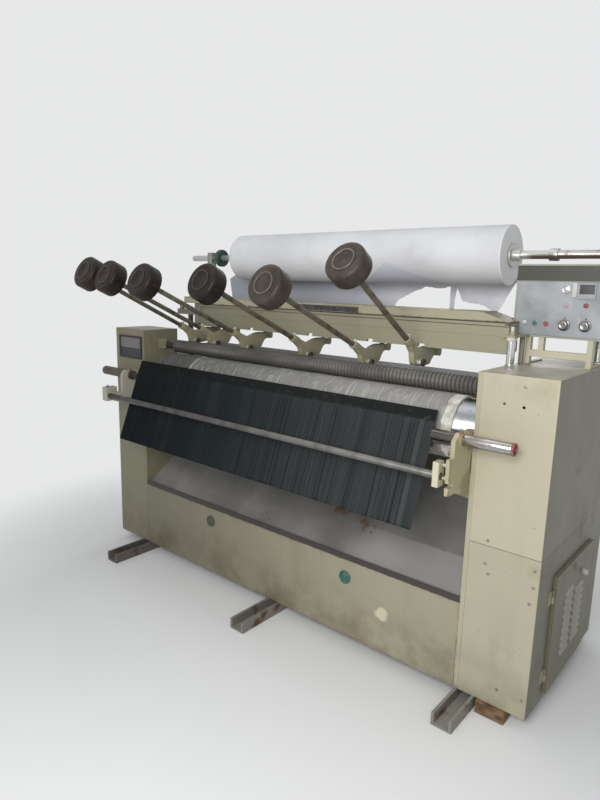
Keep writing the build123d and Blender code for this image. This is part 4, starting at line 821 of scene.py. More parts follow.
for along in rows:
    press = min(1.0, max(0.0, (along - 0.040) / 0.022))
    press = press * press * (3 - 2 * press)
    for across, level, height, drift, shade in columns:
        fold = level * height * press
        x = across + drift * 0.0022 * press * (along - 0.1) / 0.3
        ripple = noise.noise(Vector((across * 7, along * 6, 3))) * 0.0012
        flat_level = 0.0030 + noise.noise(Vector((across * 22, along * 40, 1))) * 0.0016
        lift = flat_level * (1 - press) + (0.0010 + pleat_rise * fold) * press + ripple * press
        ends = min(1.0, (across - cloth_left) / 0.004, (cloth_right - across) / 0.004)
        lift *= 0.35 + 0.65 * max(0.0, ends)
        hem = max(0.0, (along - 0.428) / 0.010)
        x = min(max(x, cloth_left), cloth_right)
        spot = cloth_top + down * along + outward * (lift - 0.0095 - 0.0015 * hem)
        points.append((x, spot.y, spot.z))
        shades.append(shade * press + 0.5 * (1 - press) - 0.45 * hem)


def grid_faces(rows, columns):
    """The faces between so many rows and columns of points, by the numbers of their corners."""
    corners = [row * columns + column for row in range(rows - 1) for column in range(columns - 1)]
    return [(corner, corner + columns, corner + columns + 1, corner + 1) for corner in corners]


cloth = from_points("pleated_sheet", points, faces=grid_faces(len(rows), len(columns)))
# The fold attribute carries the painted shade of the pleats and of the hem.
fold_shade_layer = cloth.data.attributes.new("fold", "FLOAT", "POINT")
fold_shade_layer.data.foreach_set("value", shades)
wall(cloth, 0.0009, -1)

look = Finish("cloth_finish")
fold = look.node("Attribute", {"attribute_name": "fold"}, output="Fac")
# The cloth is darker towards the left: painted shade.
right_share = look.along("X").ramp(-0.5, 0.75)
look.base(right_share, (33, 40, 42), (60, 62, 62))
tint = look.cloud(2.6, 3, (6, 0.4, 0.4)).ramp(0.35, 0.7)
look.layer(tint * 0.4, (36, 47, 50))
# Paler streaks along the pleats: painted highlights.
look.layer(look.cloud(1.2, 4, (14, 1, 1)).ramp(0.5, 0.8) * 0.3, (84, 87, 86))
# Painted shade on the pleats' shaded faces, on the darker pleats and along the hem.
look.layer(fold.ramp(0.7, 0.0) * 0.85, (17, 19, 20))
thread = look.cloud(3, 3, (420, 1, 1)).ramp(0.55, 0.75)
look.layer(thread * 0.2, (96, 98, 97))
lint = look.cloud(55, 6, rough=0.7).ramp(0.66, 0.76)
look.layer(lint * 0.22, (150, 148, 142))
# The flat top band is painted darker: painted shade.
top_edge = look.along("Z").ramp(1.058, 1.068)
look.layer(top_edge * 0.85, (27, 28, 28))
edge_dust = look.cloud(38, 6, (1, 1, 2)).ramp(0.57, 0.7) * top_edge
look.layer(edge_dust * 0.35, (84, 83, 79))
for line_x in (0.757, 0.762, 0.7665, 0.772):
    stripe = (look.along("X") - line_x).size().ramp(0.0009, 0.0004) * (1 - top_edge)
    look.layer(stripe * 0.5, (128, 128, 124))
weave = look.node("TexWave", {"wave_type": "BANDS", "bands_direction": "X"},
                  {"Vector": look.place(), "Scale": 260, "Distortion": 2.0, "Detail": 2})
# More painted shade towards the left.
look.layer(look.along("X").ramp(0.3, -0.9) * 0.6, (10, 12, 13))
cloth_finish = look.close(Roughness=0.9, Specular_IOR_Level=0.12,
                          Normal=look.bump(weave, 0.0001, look.bump(look.cloud(220, 4), 0.0003)))
end(cloth, cloth_finish, slot="cloth", stands_for=["pleated_cloth"], smooth=60)
flat_width = 0.0
for first, second in zip(columns, columns[1:]):
    rise = pleat_rise * (second[1] * second[2] - first[1] * first[2])
    flat_width += sqrt((second[0] - first[0]) ** 2 + rise ** 2)

# Cast brackets stand at both ends of the chute. They carry a plain steel front rod and two sliding chuck
# stubs; the right stub is a chromed tube with a red painted ring on its open end.
bracket_spots = [(0.943, -0.47, 1.05, 0.05, (206, 178, 140), 0.85),
                 (0.94, -0.41, 0.86, 0.07, (120, 106, 74), 0.6),
                 (0.94, -0.30, 0.80, 0.09, (110, 100, 66), 0.6)]
dress("bracket_right", sprayed("right_bracket_paint", (174, 165, 134), ("bracket_right",),
                               spots=bracket_spots, low_dirt=0), 0.0022)
dress("bracket_left", sprayed("left_bracket_paint", (166, 164, 146), ("bracket_left",), low_dirt=0), 0.0022)
block_paint = sprayed("rod_block_paint", (196, 191, 167), low_dirt=0)
dress("rod_block_right", block_paint, 0.002)

look = Finish("rod_finish")
rod_cloud = look.cloud(16, 6, (1, 0.4, 0.4))
look.base(rod_cloud.ramp(0.4, 0.7), (128, 127, 123), (100, 97, 91))
look.layer(look.cloud(120, 4).ramp(0.62, 0.74) * 0.3, (84, 66, 50))
# Painted shade darkens the rod towards the left.
look.layer(look.along("X").ramp(0.6, -0.9) * 0.75, (44, 42, 39))
rod_finish = look.close(Metallic=0.8, Roughness=rod_cloud * 0.3 + 0.28, Normal=look.grain(0.0001, 300, 4))
front_low, front_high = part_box("front_rod")
rod_y, rod_z, rod_radius = -0.553, 0.915, 0.014
front_bar = rod("front_bar", (front_low.x, rod_y, rod_z), (front_high.x, rod_y, rod_z), rod_radius, 48)
for side in (-1, 1):
    faces_along(front_bar, (side, 0, 0), (0.002, 0))
round_edges(front_bar, 0.0012)
end(front_bar, rod_finish, slot="rod_steel", stands_for=["front_rod"])

look = Finish("chrome_finish")
chrome_wear = look.cloud(22, 6, (0.5, 1, 1)).ramp(0.5, 0.68)
chrome_dark = look.along("X").ramp(0.936, 0.931)
look.base(chrome_wear, (172, 171, 168), (128, 122, 112))
look.layer(chrome_dark * 0.85, (88, 86, 84))
chrome_finish = look.close(Metallic=1.0, Roughness=chrome_wear * 0.3 + 0.14,
                           Normal=look.grain(0.0001, 160, 5))
stub_low, stub_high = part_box("stub_right")
stub_y, stub_z, stub_bore_depth, cap_bore_depth = -0.460, 1.029, 0.060, 0.0075
stub_radius, cap_radius, left_stub_radius = 0.021, 0.022, 0.024
stub = rod("stub_tube", (stub_low.x, stub_y, stub_z), (stub_high.x, stub_y, stub_z), stub_radius, 56)
faces_along(stub, to_right, (0.007, 0))
extrude(-stub_bore_depth)
faces_along(stub, to_left, (0.006, 0), (0.003, -0.002), test=lambda middle: middle.x < stub_low.x + 0.001)
round_edges(stub, 0.0012)
end(stub, chrome_finish, body="right_chuck", slot="chrome", stands_for=["stub_right"])

look = Finish("red_ring_finish")
red_chip = look.cloud(70, 6).ramp(0.52, 0.64)
look.base(red_chip, (142, 58, 54), (140, 112, 108))
red_finish = look.close(Roughness=0.5, Normal=look.bump(red_chip, -0.0002))
cap_low, cap_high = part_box("stub_cap")
cap = rod("stub_ring", (cap_low.x, stub_y, stub_z), (cap_high.x, stub_y, stub_z), cap_radius, 56)
faces_along(cap, to_right, (0.008, 0))
extrude(-cap_bore_depth)
round_edges(cap, 0.0016)
end(cap, red_finish, body="right_chuck", slot="red_paint", stands_for=["stub_cap"])

left_low, left_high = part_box("stub_left")
left_stub = rod("left_stub", (left_low.x, stub_y, stub_z), (left_high.x, stub_y, stub_z), left_stub_radius,
                56)
for side in (-1, 1):
    faces_along(left_stub, (side, 0, 0), (0.005, 0), (0.0015, -0.0015))
round_edges(left_stub, 0.002, 3)
end(left_stub, iron_finish, body="left_chuck", slot="chrome", stands_for=["stub_left"])

bolts = []
for bolt_place, bolt_way, bolt_radius, bolt_length in (
        ((0.8985, -0.539, 0.952), to_left, 0.008, 0.006), ((0.8985, -0.539, 0.907), to_left, 0.008, 0.006),
        ((0.935, -0.520, 0.990), to_left, 0.009, 0.007), ((0.935, -0.425, 0.985), to_left, 0.009, 0.007),
        ((0.935, -0.425, 0.900), to_left, 0.009, 0.007), ((0.943, -0.470, 1.057), (0, 0, 1), 0.007, 0.009),
        ((-1.067, -0.553, 0.962), (0, 0, 1), 0.008, 0.008),
        ((-0.979, -0.470, 1.057), (0, 0, 1), 0.007, 0.008)):
    bolt_start = Vector(bolt_place)
    bolt_end = bolt_start + Vector(bolt_way) * bolt_length
    bolt = rod("bolt", bolt_start, bolt_end, bolt_radius, 6)
    faces_along(bolt, bolt_way, (0.0015, 0.0008))
    round_edges(bolt, 0.0006)
    bolts.append(bolt)
end(join("bracket_bolts", bolts), zinc_finish, slot="zinc")

# The cross beam is a folded channel on posts, sprayed like the body and thick with dust on top. A cover
# strip with a clipped corner runs along its front, with a bare dark plate on it.
beam_y = -0.126
# The second spot, at the beam's right end, is a painted shadow.
beam_spots = [(0.35, beam_y, 1.33, 0.05, (150, 138, 104), 0.3),
              (0.938, beam_y, 1.392, 0.022, (84, 66, 52), 0.85),
              (-0.4, beam_y, 1.36, 0.12, (140, 130, 98), 0.3)]
beam_lines = ((1.4118, 0.0026, 0.9), (1.3975, 0.0018, 0.7), (1.3605, 0.0011, 0.3))
# The beam gets painted shade that deepens towards its left end.
dress("beam", sprayed("beam_paint", (152, 148, 124), ("beam",), grime=0.8, dust=0.8, spots=beam_spots,
                      low_dirt=0, lines=beam_lines, shade=("X", 0.7, -1.0, 0.4)), 0.002)
dress("beam_cover", sprayed("beam_cover_paint", (166, 161, 136), ("beam_cover",), grime=0.7, dust=0.8,
                            low_dirt=0), 0.001)
bare_plate_finish = mottled("bare_plate_finish", (40, 6), (44, 43, 42), (84, 82, 78), ramp=(0.4, 0.7),
                            Roughness=0.5)
bare_plate_box = (-0.088, 0.263, -0.1319, -0.1306, 1.4175, 1.4415)
bare_plate = bar("bare_plate", bare_plate_box)
faces_along(bare_plate, to_front, (0.0015, 0), (0.0004, -0.0003))
round_edges(bare_plate, 0.0004)
end(bare_plate, bare_plate_finish, slot="black_plastic")
dress("lever_hangers", sprayed("hanger_paint", (146, 140, 114), low_dirt=0), 0.001)
beam_screw = rod("beam_screw", (-0.792, beam_y, 1.384), (-0.792, beam_y - 0.0038, 1.384), 0.009, 24)
faces_along(beam_screw, to_front, (0.0025, 0.0012))
round_edges(beam_screw, 0.0006)
end(beam_screw, zinc_finish, slot="zinc")

# Six cast levers hang under the beam. A bolt through each foot presses on the bar below, and a steel rod
# in each socket carries a cast iron weight, so the six can be set alike or lifted one at a time.
pivot_z, casting_half = 1.263, 0.0129
# For each lever: its place along the beam, its lift in degrees, and how far up its rod the weight sits.
lever_rows = [(0.582, 9.2, 0.470), (0.330, 0, 0.547), (-0.010, 0.5, 0.541), (-0.402, 0.3, 0.549),
              (-0.650, 1, 0.557), (-0.808, 1.8, 0.570)]
# The side of the casting, in millimetres from its pivot: to the rear, and up.
casting_points = [(9, 10), (-20, 18), (-78, 20), (-118, 12), (-145, 2), (-168, 4), (-196, 15), (-228, 30),
                  (-246, 34), (-246, 20), (-236, 2), (-222, -10), (-207, -19), (-200, -40), (-186, -69),
                  (-146, -69), (-100, -63), (-58, -56), (-49, -37), (-30, -15), (0, -12), (10, -6)]


def softened(points, rounds=2):
    """Cuts the corners off a closed outline, as a casting has them."""
    for _ in range(rounds):
        cut = []
        for (x0, y0), (x1, y1) in zip(points, points[1:] + points[:1]):
            cut.append((0.8 * x0 + 0.2 * x1, 0.8 * y0 + 0.2 * y1))
            cut.append((0.2 * x0 + 0.8 * x1, 0.2 * y0 + 0.8 * y1))
        points = cut
    return points


casting_outline = softened(casting_points)
casting = begin(bpy.ops.mesh.primitive_circle_add, "casting", vertices=len(casting_outline), radius=0.1,
                fill_type="NGON")
alone()
for vertex, (along, up) in zip(casting.data.vertices, casting_outline):
    vertex.co = (-casting_half, along / 1000, pivot_z + up / 1000)
edit(casting)
extrude(2 * casting_half)
face_out()
round_edges(casting, 0.004, 3, 60)
mouth_y, mouth_rise, rod_tilt, socket_radius, lever_rod_radius = -0.238, 0.020, radians(24), 0.018, 0.011
mouth = Vector((0, mouth_y, pivot_z + mouth_rise))
rod_way = Vector((0, -cos(rod_tilt), sin(rod_tilt)))
socket = rod("socket", mouth - rod_way * 0.020, mouth + rod_way * 0.025, socket_radius, 40)
faces_along(socket, rod_way, (0.006, 0), (0.0004, -0.003))
round_edges(socket, 0.0022, 3)
eye = rod("eye", (-casting_half, 0, pivot_z), (casting_half, 0, pivot_z), 0.0140, 40)
for side in (-1, 1):
    faces_along(eye, (side, 0, 0), (0.004, 0))
round_edges(eye, 0.0012)
bolt_y, bolt_z = -0.165, pivot_z - 0.054
pad = rod("foot_pad", (0, bolt_y, pivot_z - 0.062), (0, bolt_y, pivot_z - 0.0742), 0.0075, 28)
round_edges(pad, 0.0012)
lever_shape = join("lever_shape", [casting, socket, eye, pad])

nut = rod("nut", (0.0215, bolt_y, bolt_z), (0.0335, bolt_y, bolt_z), 0.0158, 6)
round_edges(nut, 0.0014)
washer = rod("washer", (casting_half, bolt_y, bolt_z), (0.0225, bolt_y, bolt_z), 0.0120, 40)
round_edges(washer, 0.0004)
head = rod("head", (-0.0128, bolt_y, bolt_z), (-0.0178, bolt_y, bolt_z), 0.0105, 36)
faces_along(head, to_left, (0.003, 0.0014), (0.003, 0.0007))
round_edges(head, 0.0008)
grub_foot = mouth + rod_way * 0.012
grub = rod("grub", grub_foot + Vector((0, 0.007, 0.0155)), grub_foot + Vector((0, 0.0105, 0.0235)), 0.005, 6)
round_edges(grub, 0.0006)
bolt_shape = join("bolt_shape", [nut, washer, head, grub])
stem_shape = rod("stem_shape", (0.0330, bolt_y, bolt_z), (0.0440, bolt_y, bolt_z), 0.0150, 32)
faces_along(stem_shape, to_right, (0.0020, 0.0006), (0.0012, -0.0030))
round_edges(stem_shape, 0.0006)

weight_reach, weight_length, weight_radius, weight_corner = 0.545, 0.075, 0.076, 0.0145
weight_start = mouth + rod_way * weight_reach
weight_shape = rod("weight_shape", weight_start, weight_start + rod_way * weight_length, weight_radius, 96)


def rim(edge):
    """True on the two outer rims of the weight."""
    for vertex in edge.verts:
        arm = vertex.co - weight_start
        if abs((arm - rod_way * arm.dot(rod_way)).length - weight_radius) > 0.0005:
            return False
    return abs((edge.verts[0].co - edge.verts[1].co).dot(rod_way)) < 0.001


faces_along(weight_shape, rod_way, (0.0335, 0), (0.0270, 0), (0.0012, -0.0016))
faces_along(weight_shape, -rod_way, (0.0360, 0), (0.0020, -0.003))
pick(weight_shape, "EDGE", rim)
bpy.ops.mesh.bevel(offset=weight_corner, segments=8, affect="EDGES", clamp_overlap=True)
round_edges(weight_shape, 0.0008, 2, 40)

ring_at = weight_start + rod_way * weight_length
ring_radius, ring_sunk, ring_proud = 0.0430, 0.003, 0.0036
ring_shape = rod("ring_shape", ring_at - rod_way * ring_sunk, ring_at + rod_way * ring_proud, ring_radius,
                 72)
faces_along(ring_shape, rod_way, (0.0060, 0), (0.0008, -0.0056))
round_edges(ring_shape, 0.0012, 3, 30)
alone()

bolt_finish = mottled("bolt_finish", (60, 5), (206, 206, 200), (138, 130, 116), ramp=(0.5, 0.7),
                      Metallic=0.6, Roughness=0.3)
lever_paint = sprayed("lever_paint", (154, 148, 120), grime=1.3, dust=0.4, low_dirt=0)


def cast_iron(name, dark, light):
    """Oiled cast iron: dark brown with rust and worn spots."""
    finish = Finish(name)
    cloud = finish.cloud(13, 6, rough=0.6)
    finish.base(cloud.ramp(0.35, 0.7), dark, light)
    finish.layer(finish.cloud(50, 5).ramp(0.6, 0.75) * 0.4, (96, 88, 78))
    finish.layer(finish.cloud(5, 5).ramp(0.55, 0.72) * 0.35, (76, 52, 38))
    return finish.close(Metallic=0.1, Roughness=cloud * 0.25 + 0.30, Specular_IOR_Level=0.2,
                        Normal=finish.grain(0.0004, 150, 5))


# The four left weights get a darker copy of the iron: painted shade.
weight_iron = cast_iron("weight_finish", (56, 50, 45), (76, 69, 62))
shaded_weight_iron = cast_iron("shaded_weight_finish", (32, 26, 23), (44, 37, 33))
# The rings of the two right weights are worn brighter metal, which is also a painted highlight.
ring_finish = mottled("ring_finish", (40, 5), (122, 115, 107), (76, 69, 62), Metallic=0.5, Roughness=0.28)
look = Finish("lever_rod_finish")
lever_rod_cloud = look.cloud(30, 6)
look.base(lever_rod_cloud.ramp(0.4, 0.7), (112, 106, 90), (76, 70, 56))
lever_rod_finish = look.close(Metallic=0.35, Roughness=lever_rod_cloud * 0.2 + 0.4,
                              Normal=look.grain(0.0001, 300, 4))
for number, (lever_x, lift, weight_at) in enumerate(lever_rows, start=1):
    body = f"lever_{number}"
    # The left weights and their rings get the darker copies: painted shade.
    iron, ring_iron = (weight_iron, ring_finish) if number < 3 else (shaded_weight_iron, weight_iron)
    place = (Matrix.Translation((lever_x, 0, pivot_z)) @ Matrix.Rotation(-radians(lift), 4, "X")
             @ Matrix.Translation((0, 0, -pivot_z)))
    end(copy_of(lever_shape, f"{body}_casting", place), lever_paint, body, "lever_paint", [body])
    end(copy_of(bolt_shape, f"{body}_bolt", place), bolt_finish, body, "zinc")
    end(copy_of(stem_shape, f"{body}_bolt_end", place), iron_finish, body, "dark_iron")
    weight_rod = rod(f"{body}_rod", place @ (mouth - rod_way * 0.003), place @ (mouth + rod_way * weight_at),
                     lever_rod_radius, 36)
    round_edges(weight_rod, 0.001)
    end(weight_rod, lever_rod_finish, body, "rod_steel")
    place = place @ Matrix.Translation(rod_way * (weight_at - weight_reach))
    end(copy_of(weight_shape, f"{body}_weight", place), iron, body, "dark_iron", [f"weight_{number}"])
    end(copy_of(ring_shape, f"{body}_weight_ring", place), ring_iron, body, "dark_iron")
for shape in (lever_shape, bolt_shape, stem_shape, weight_shape, ring_shape):
    bpy.data.objects.remove(shape)

# The beam stands on a chromed column with a white collar and a square bar at the right, and on a plain
# column with a clamp handle on its stud at the left.
right_top, bracket_bottom, left_top, collar_height = 1.258, 1.362, 1.090, 0.014
foot_radius, collar_radius, stud_radius, left_foot_radius = 0.019, 0.020, 0.0072, 0.026
column_x, column_y, left_x, left_y, column_radius = 0.962, -0.143, -0.979, -0.046, 0.015
column = rod("round_column", (column_x, column_y, right_top),
             (column_x, column_y, bracket_bottom - collar_height), column_radius, 48)
column_foot = rod("column_foot", (column_x, column_y, right_top), (column_x, column_y, right_top + 0.004),
                  foot_radius, 48)
round_edges(column_foot, 0.0015)
column = join("round_column", [column, column_foot])
look = Finish("bright_finish")
bright_spot = look.cloud(60, 6).ramp(0.58, 0.7)
look.base(bright_spot, (206, 206, 205), (146, 138, 124))
bright_finish = look.close(Metallic=1.0, Roughness=bright_spot * 0.3 + 0.16)
end(column, bright_finish, slot="chrome", stands_for=["beam_columns"])
collar_finish = mottled("collar_finish", (50, 5), (222, 221, 214), (182, 178, 166), Roughness=0.5)
collar = rod("column_collar", (column_x, column_y, bracket_bottom - collar_height),
             (column_x, column_y, bracket_bottom), collar_radius, 48)
round_edges(collar, 0.002)
end(collar, collar_finish, slot="case_paint")
stud = rod("column_stud", (column_x, column_y, 1.380), (column_x, column_y, 1.399), stud_radius, 32)
faces_along(stud, (0, 0, 1), (0.0020, 0.0016), (0.0030, 0.0010))
round_edges(stud, 0.0008)
end(stud, collar_finish, slot="chrome")
square_box = (0.959, 0.975, -0.058, -0.038, right_top, bracket_bottom)
square = bar("square_column", square_box)
round_edges(square, 0.0015)
end(square, sprayed("square_column_paint", (140, 142, 124), low_dirt=0), slot="case_paint")
left_column = rod("left_column", (left_x, left_y, left_top), (left_x, left_y, 1.345), column_radius, 48)
left_foot = rod("left_foot", (left_x, left_y, left_top), (left_x, left_y, left_top + 0.008),
                left_foot_radius, 48)
round_edges(left_foot, 0.0015)
end(join("left_column", [left_column, left_foot]), rod_finish, slot="rod_steel")
dress("clamp_handle", zinc_finish, 0.001)

# Two posts carry the paper roll's shaft in split bearing blocks; the shaft has hubs, collars and a
# green cast hand wheel at its left.
look = Finish("post_finish")
post_cloud = look.cloud(10, 6, (1, 1, 0.3))
look.base(post_cloud.ramp(0.4, 0.7), (160, 160, 156), (116, 110, 100))
post_finish = look.close(Metallic=0.75, Roughness=post_cloud * 0.3 + 0.26, Normal=look.grain(0.0001, 260, 4))
dress("roll_posts", post_finish, 0.0015)
look = Finish("shaft_finish")
shaft_rust = look.cloud(12, 6, (1, 0.5, 0.5)).ramp(0.5, 0.66) * look.along("X").ramp(0.87, 0.92)
look.base(shaft_rust, (190, 190, 186), (134, 120, 106))
shaft_low = look.along("Z").ramp(1.676, 1.668) * look.along("X").ramp(0.86, 0.90)
look.layer(shaft_low * 0.9, (92, 74, 62))
shaft_finish = look.close(Metallic=0.5, Roughness=shaft_rust * 0.3 + 0.3, Normal=look.grain(0.0001, 200, 4))
dress("roll_shaft", shaft_finish, 0.0012)
look = Finish("wheel_finish")
wheel_chip = look.cloud(60, 6).ramp(0.6, 0.7)
look.base(wheel_chip, (40, 68, 60), (104, 100, 90))
wheel_finish = look.close(Roughness=0.4, Normal=look.grain(0.0004, 120, 4))
dress("hand_wheel", wheel_finish, 0.001)

# The roll of white pleating paper: many turns that bulge and shift a little. Its outer turn hangs down
# behind the beam as a web that was torn off by hand.
roll_y, roll_z, roll_left, roll_right = 0.183, 1.674, -0.767, 0.805
roll_radius, hub_radius, bore_radius, turn_count, length_count = 0.125, 0.050, 0.030, 10, 90
look = Finish("paper_finish")
paper_smudge = look.cloud(7, 6, rough=0.6).ramp(0.55, 0.78)
look.base(look.cloud(2.2, 4).ramp(0.3, 0.7), (214, 214, 217), (230, 230, 231))
look.layer(paper_smudge * 0.3, (176, 174, 170))
paper_fleck = look.grit(12).ramp(0.05, 0.03) * look.cloud(3, 2).ramp(0.5, 0.58)
look.layer(paper_fleck * 0.6, (120, 112, 104))
roll_gap_y, roll_gap_z = look.along("Y") - roll_y, look.along("Z") - roll_z
turn_radius = (roll_gap_y * roll_gap_y + roll_gap_z * roll_gap_z).root()
turn_lines = look.node("TexNoise", {"noise_dimensions": "1D"}, {"W": turn_radius, "Scale": 900, "Detail": 3})
# The roll's end faces are painted whiter than its face: painted light.
right_end = (look.along("X") - roll_right + 0.0035).ramp(0, 0.001)
at_end = right_end.most((look.along("X") - roll_left - 0.0035).ramp(0, -0.001))
look.layer(at_end, (248, 248, 247))
look.layer(turn_lines.ramp(0.4, 0.7) * at_end * 0.25, (190, 190, 188))
ply_drop = 1.643 - look.along("Z")
ply_x = look.along("X") - 0.262
ply = (ply_drop * 2.92 - ply_x).ramp(0, 0.006) * (ply_drop * 1.467 + ply_x).ramp(0, 0.006)
ply = ply * look.along("Y").ramp(roll_y, roll_y - 0.01)
look.layer(ply * 0.8, (204, 204, 218))
paper_finish = look.close(Roughness=0.75,
                          Normal=look.bump(look.cloud(30, 6, (0.3, 1, 1)), 0.0006,
                                           look.bump(look.cloud(500, 3), 0.0001)))


def turn_ends(end_x, inwards, seed):
    """The stepped edges of the paper's turns at one end of the roll, from the hub outwards."""
    points = []
    for step in range(turn_count):
        shift = 0.0014 * abs(noise.noise(Vector((step * 1.7, seed, 2))))
        for share in (0.06, 0.94):
            points.append((end_x + inwards * shift,
                           hub_radius + (roll_radius - hub_radius) * (step + share) / turn_count))
    return points


left_turns, right_turns = turn_ends(roll_left, 1, 4), turn_ends(roll_right, -1, 9)
left_turns[-1] = (roll_left + 0.0006, roll_radius - 0.001)
roll_profile = [(roll_left + 0.002, bore_radius), (roll_left + 0.002, hub_radius)] + left_turns
for step in range(length_count + 1):
    x = roll_left + 0.0022 + (roll_right - roll_left - 0.0044) * step / length_count
    roll_profile.append((x, roll_radius - 0.0001))
roll_profile += right_turns[::-1] + [(roll_right - 0.002, hub_radius), (roll_right - 0.002, bore_radius)]
paper = spun("roll_of_paper", roll_profile, roll_y, roll_z, 144, closed=True)
face_out()
alone()
for vertex in paper.data.vertices:
    arm = Vector((vertex.co.y - roll_y, vertex.co.z - roll_z))
    if arm.length > 0.120:
        spin = arm.normalized()
        swell = noise.noise(Vector((vertex.co.x * 2.6, spin.x * 1.6, spin.y * 1.6)))
        crease = noise.noise(Vector((vertex.co.x * 16, spin.x * 5, spin.y * 5)))
        arm = arm * (1 + (-0.0012 + 0.0011 * swell + 0.0004 * crease) / roll_radius)
        vertex.co.y, vertex.co.z = roll_y + arm.x, roll_z + arm.y
end(paper, paper_finish, body="roll", slot="paper", stands_for=["paper_roll"], smooth=50)

web_outline = [(-1.023, 1.550), (-0.999, 1.406), (-0.780, 1.392), (-0.465, 1.374), (-0.325, 1.362),
               (-0.055, 1.374), (0.172, 1.432), (0.198, 1.468), (0.276, 1.508), (0.350, 1.537),
               (0.425, 1.529), (0.478, 1.540), (0.4785, 1.434), (0.5015, 1.434), (0.502, 1.472),
               (0.512, 1.531), (0.544, 1.474), (0.614, 1.464), (0.647, 1.459), (0.710, 1.425),
               (0.781, 1.556), (0.801, 1.574)]
web_columns = []
for (x0, z0), (x1, z1) in zip(web_outline, web_outline[1:]):
    parts = max(1, int(abs(x1 - x0) / 0.008))
    for part in range(parts):
        share = part / parts
        x = x0 + (x1 - x0) * share
        z = z0 + (z1 - z0) * share
        tear = 0.005 * noise.noise(Vector((x * 70, 3, 1))) + 0.003 * noise.noise(Vector((x * 260, 3, 5)))
        web_columns.append((x, z + tear))
web_columns.append(web_outline[-1])
web_rows, web_y, web_drop = 26, 0.3088, 0.36
web_points = []
for row in range(web_rows + 1):
    for x, bottom in web_columns:
        top = roll_z + min(0, x - roll_left) * 0.46
        z = top + (bottom - top) * row / web_rows
        fall = (roll_z - z) / web_drop
        broad, fine = noise.noise(Vector((x * 3.1, z * 2, 4))), noise.noise(Vector((x * 11, z * 7, 6)))
        wave = fall * max(-0.0024, 0.0055 * broad + 0.002 * fine)
        web_points.append((x, web_y + 0.003 * fall + wave, z))
web = from_points("hanging_web", web_points, faces=grid_faces(web_rows + 1, len(web_columns)))
wall(web, 0.0005, 0)
look = Finish("web_finish")
look.base(look.cloud(5, 5).ramp(0.35, 0.7), (214, 215, 224), (232, 232, 238))
# The web is darker towards the left: painted shade.
look.layer(look.along("X").ramp(0.3, -0.5), (176, 179, 186))
web_finish = look.close(Roughness=0.8,
                        Normal=look.bump(look.cloud(9, 5, (1, 1, 0.4)), 0.004,
                                         look.bump(look.cloud(500, 3), 0.0001)))
end(web, web_finish, slot="paper", stands_for=["paper_web"], smooth=60)
web_area = sum(abs(x1 - x0) * (roll_z - (z0 + z1) / 2)
               for (x0, z0), (x1, z1) in zip(web_columns, web_columns[1:]))

# The control box stands on a welded cream stand. Its face is brushed, painted sheet with a meter,
# lamps, two push buttons and two turned knobs; a dark olive band closes the case above the face.
dress("control_stand", sprayed("stand_paint", (194, 188, 163), grime=0.8, dust=0.4, low_dirt=0), 0.0015)
look = Finish("case_finish")
case_band = look.along("Z").ramp(1.5685, 1.5695) * look.along("Z").ramp(1.6235, 1.6225)
case_front = look.along("Y").ramp(-0.0135, -0.0145)
look.base(look.cloud(6, 5).ramp(0.35, 0.7), (172, 170, 156), (158, 155, 140))
look.layer(case_band * case_front, (64, 66, 57))
look.layer(look.cloud(16, 6).ramp(0.6, 0.75) * 0.4, (116, 110, 92))
case_finish = look.close(Roughness=0.45, Normal=look.grain(0.0001, 300, 3))
dress("control_case", case_finish, 0.0012)

look = Finish("face_finish")
look.base(look.cloud(9, 6).ramp(0.35, 0.7), (140, 144, 147), (166, 169, 172))
look.layer(look.cloud(28, 6).ramp(0.58, 0.75) * 0.5, (186, 189, 191))
look.layer(look.cloud(60, 5).ramp(0.64, 0.74) * 0.4, (124, 120, 112))
face_finish = look.close(Metallic=0.1, Roughness=0.5, Normal=look.grain(0.0001, 3, 2, (160, 1, 1)))
face_y = -0.0166
face_box = (0.9203, 1.2377, face_y, -0.0135, 1.3673, 1.5667)
face = bar("face_plate", face_box)
faces_along(face, to_front, (0.003, 0))
round_edges(face, 0.0008)
end(face, face_finish, slot="face_metal", stands_for=["control_face"])

gloss_black = mottled("gloss_black_finish", (90, 4), (26, 26, 28), (46, 45, 45), Roughness=0.3)
meter_box, dial_box = (1.140, 1.200, -0.024, face_y, 1.506, 1.562), (1.1445, 1.1955, -0.0232, -0.0220,
                                                                     1.5105, 1.5575)
strip_box = (1.119, 1.133, -0.0186, face_y, 1.512, 1.563)
meter = bar("meter_case", meter_box)
faces_along(meter, to_front, (0.004, 0), (0.0004, -0.002))
round_edges(meter, 0.0012)
plate_grey = mottled("meter_plate_finish", (50, 5), (178, 181, 183), (156, 158, 160), Roughness=0.5)
look = Finish("dial_finish")
dial_low = look.along("Z").ramp(1.5245, 1.5235)
look.base(dial_low, (58, 54, 56), (172, 174, 178))
look.layer(look.cloud(70, 4) * 0.3, (120, 118, 118))
dial_finish = look.close(Roughness=0.55)
end(meter, plate_grey, slot="case_paint")
dial = bar("meter_dial", dial_box)
round_edges(dial, 0.0004)
end(dial, dial_finish, slot="black_plastic")
strip = bar("label_strip", strip_box)
round_edges(strip, 0.0006)
end(strip, collar_finish, slot="case_paint")


def domed(name, x, z, radius, height, rise, sides=36):
    """A round cap on the control face, with a shoulder and a domed front, in edit mode."""
    piece = rod(name, (x, face_y, z), (x, face_y - height, z), radius, sides)
    faces_along(piece, to_front, (radius * 0.18, rise * 0.35), (radius * 0.25, rise * 0.40),
                (radius * 0.25, rise * 0.25))
    return piece


def plastic(name, colour):
    finish = Finish(name)
    finish.base(finish.cloud(60, 4) * 0.4, colour, (110, 104, 100))
    return finish.close(Roughness=0.5)


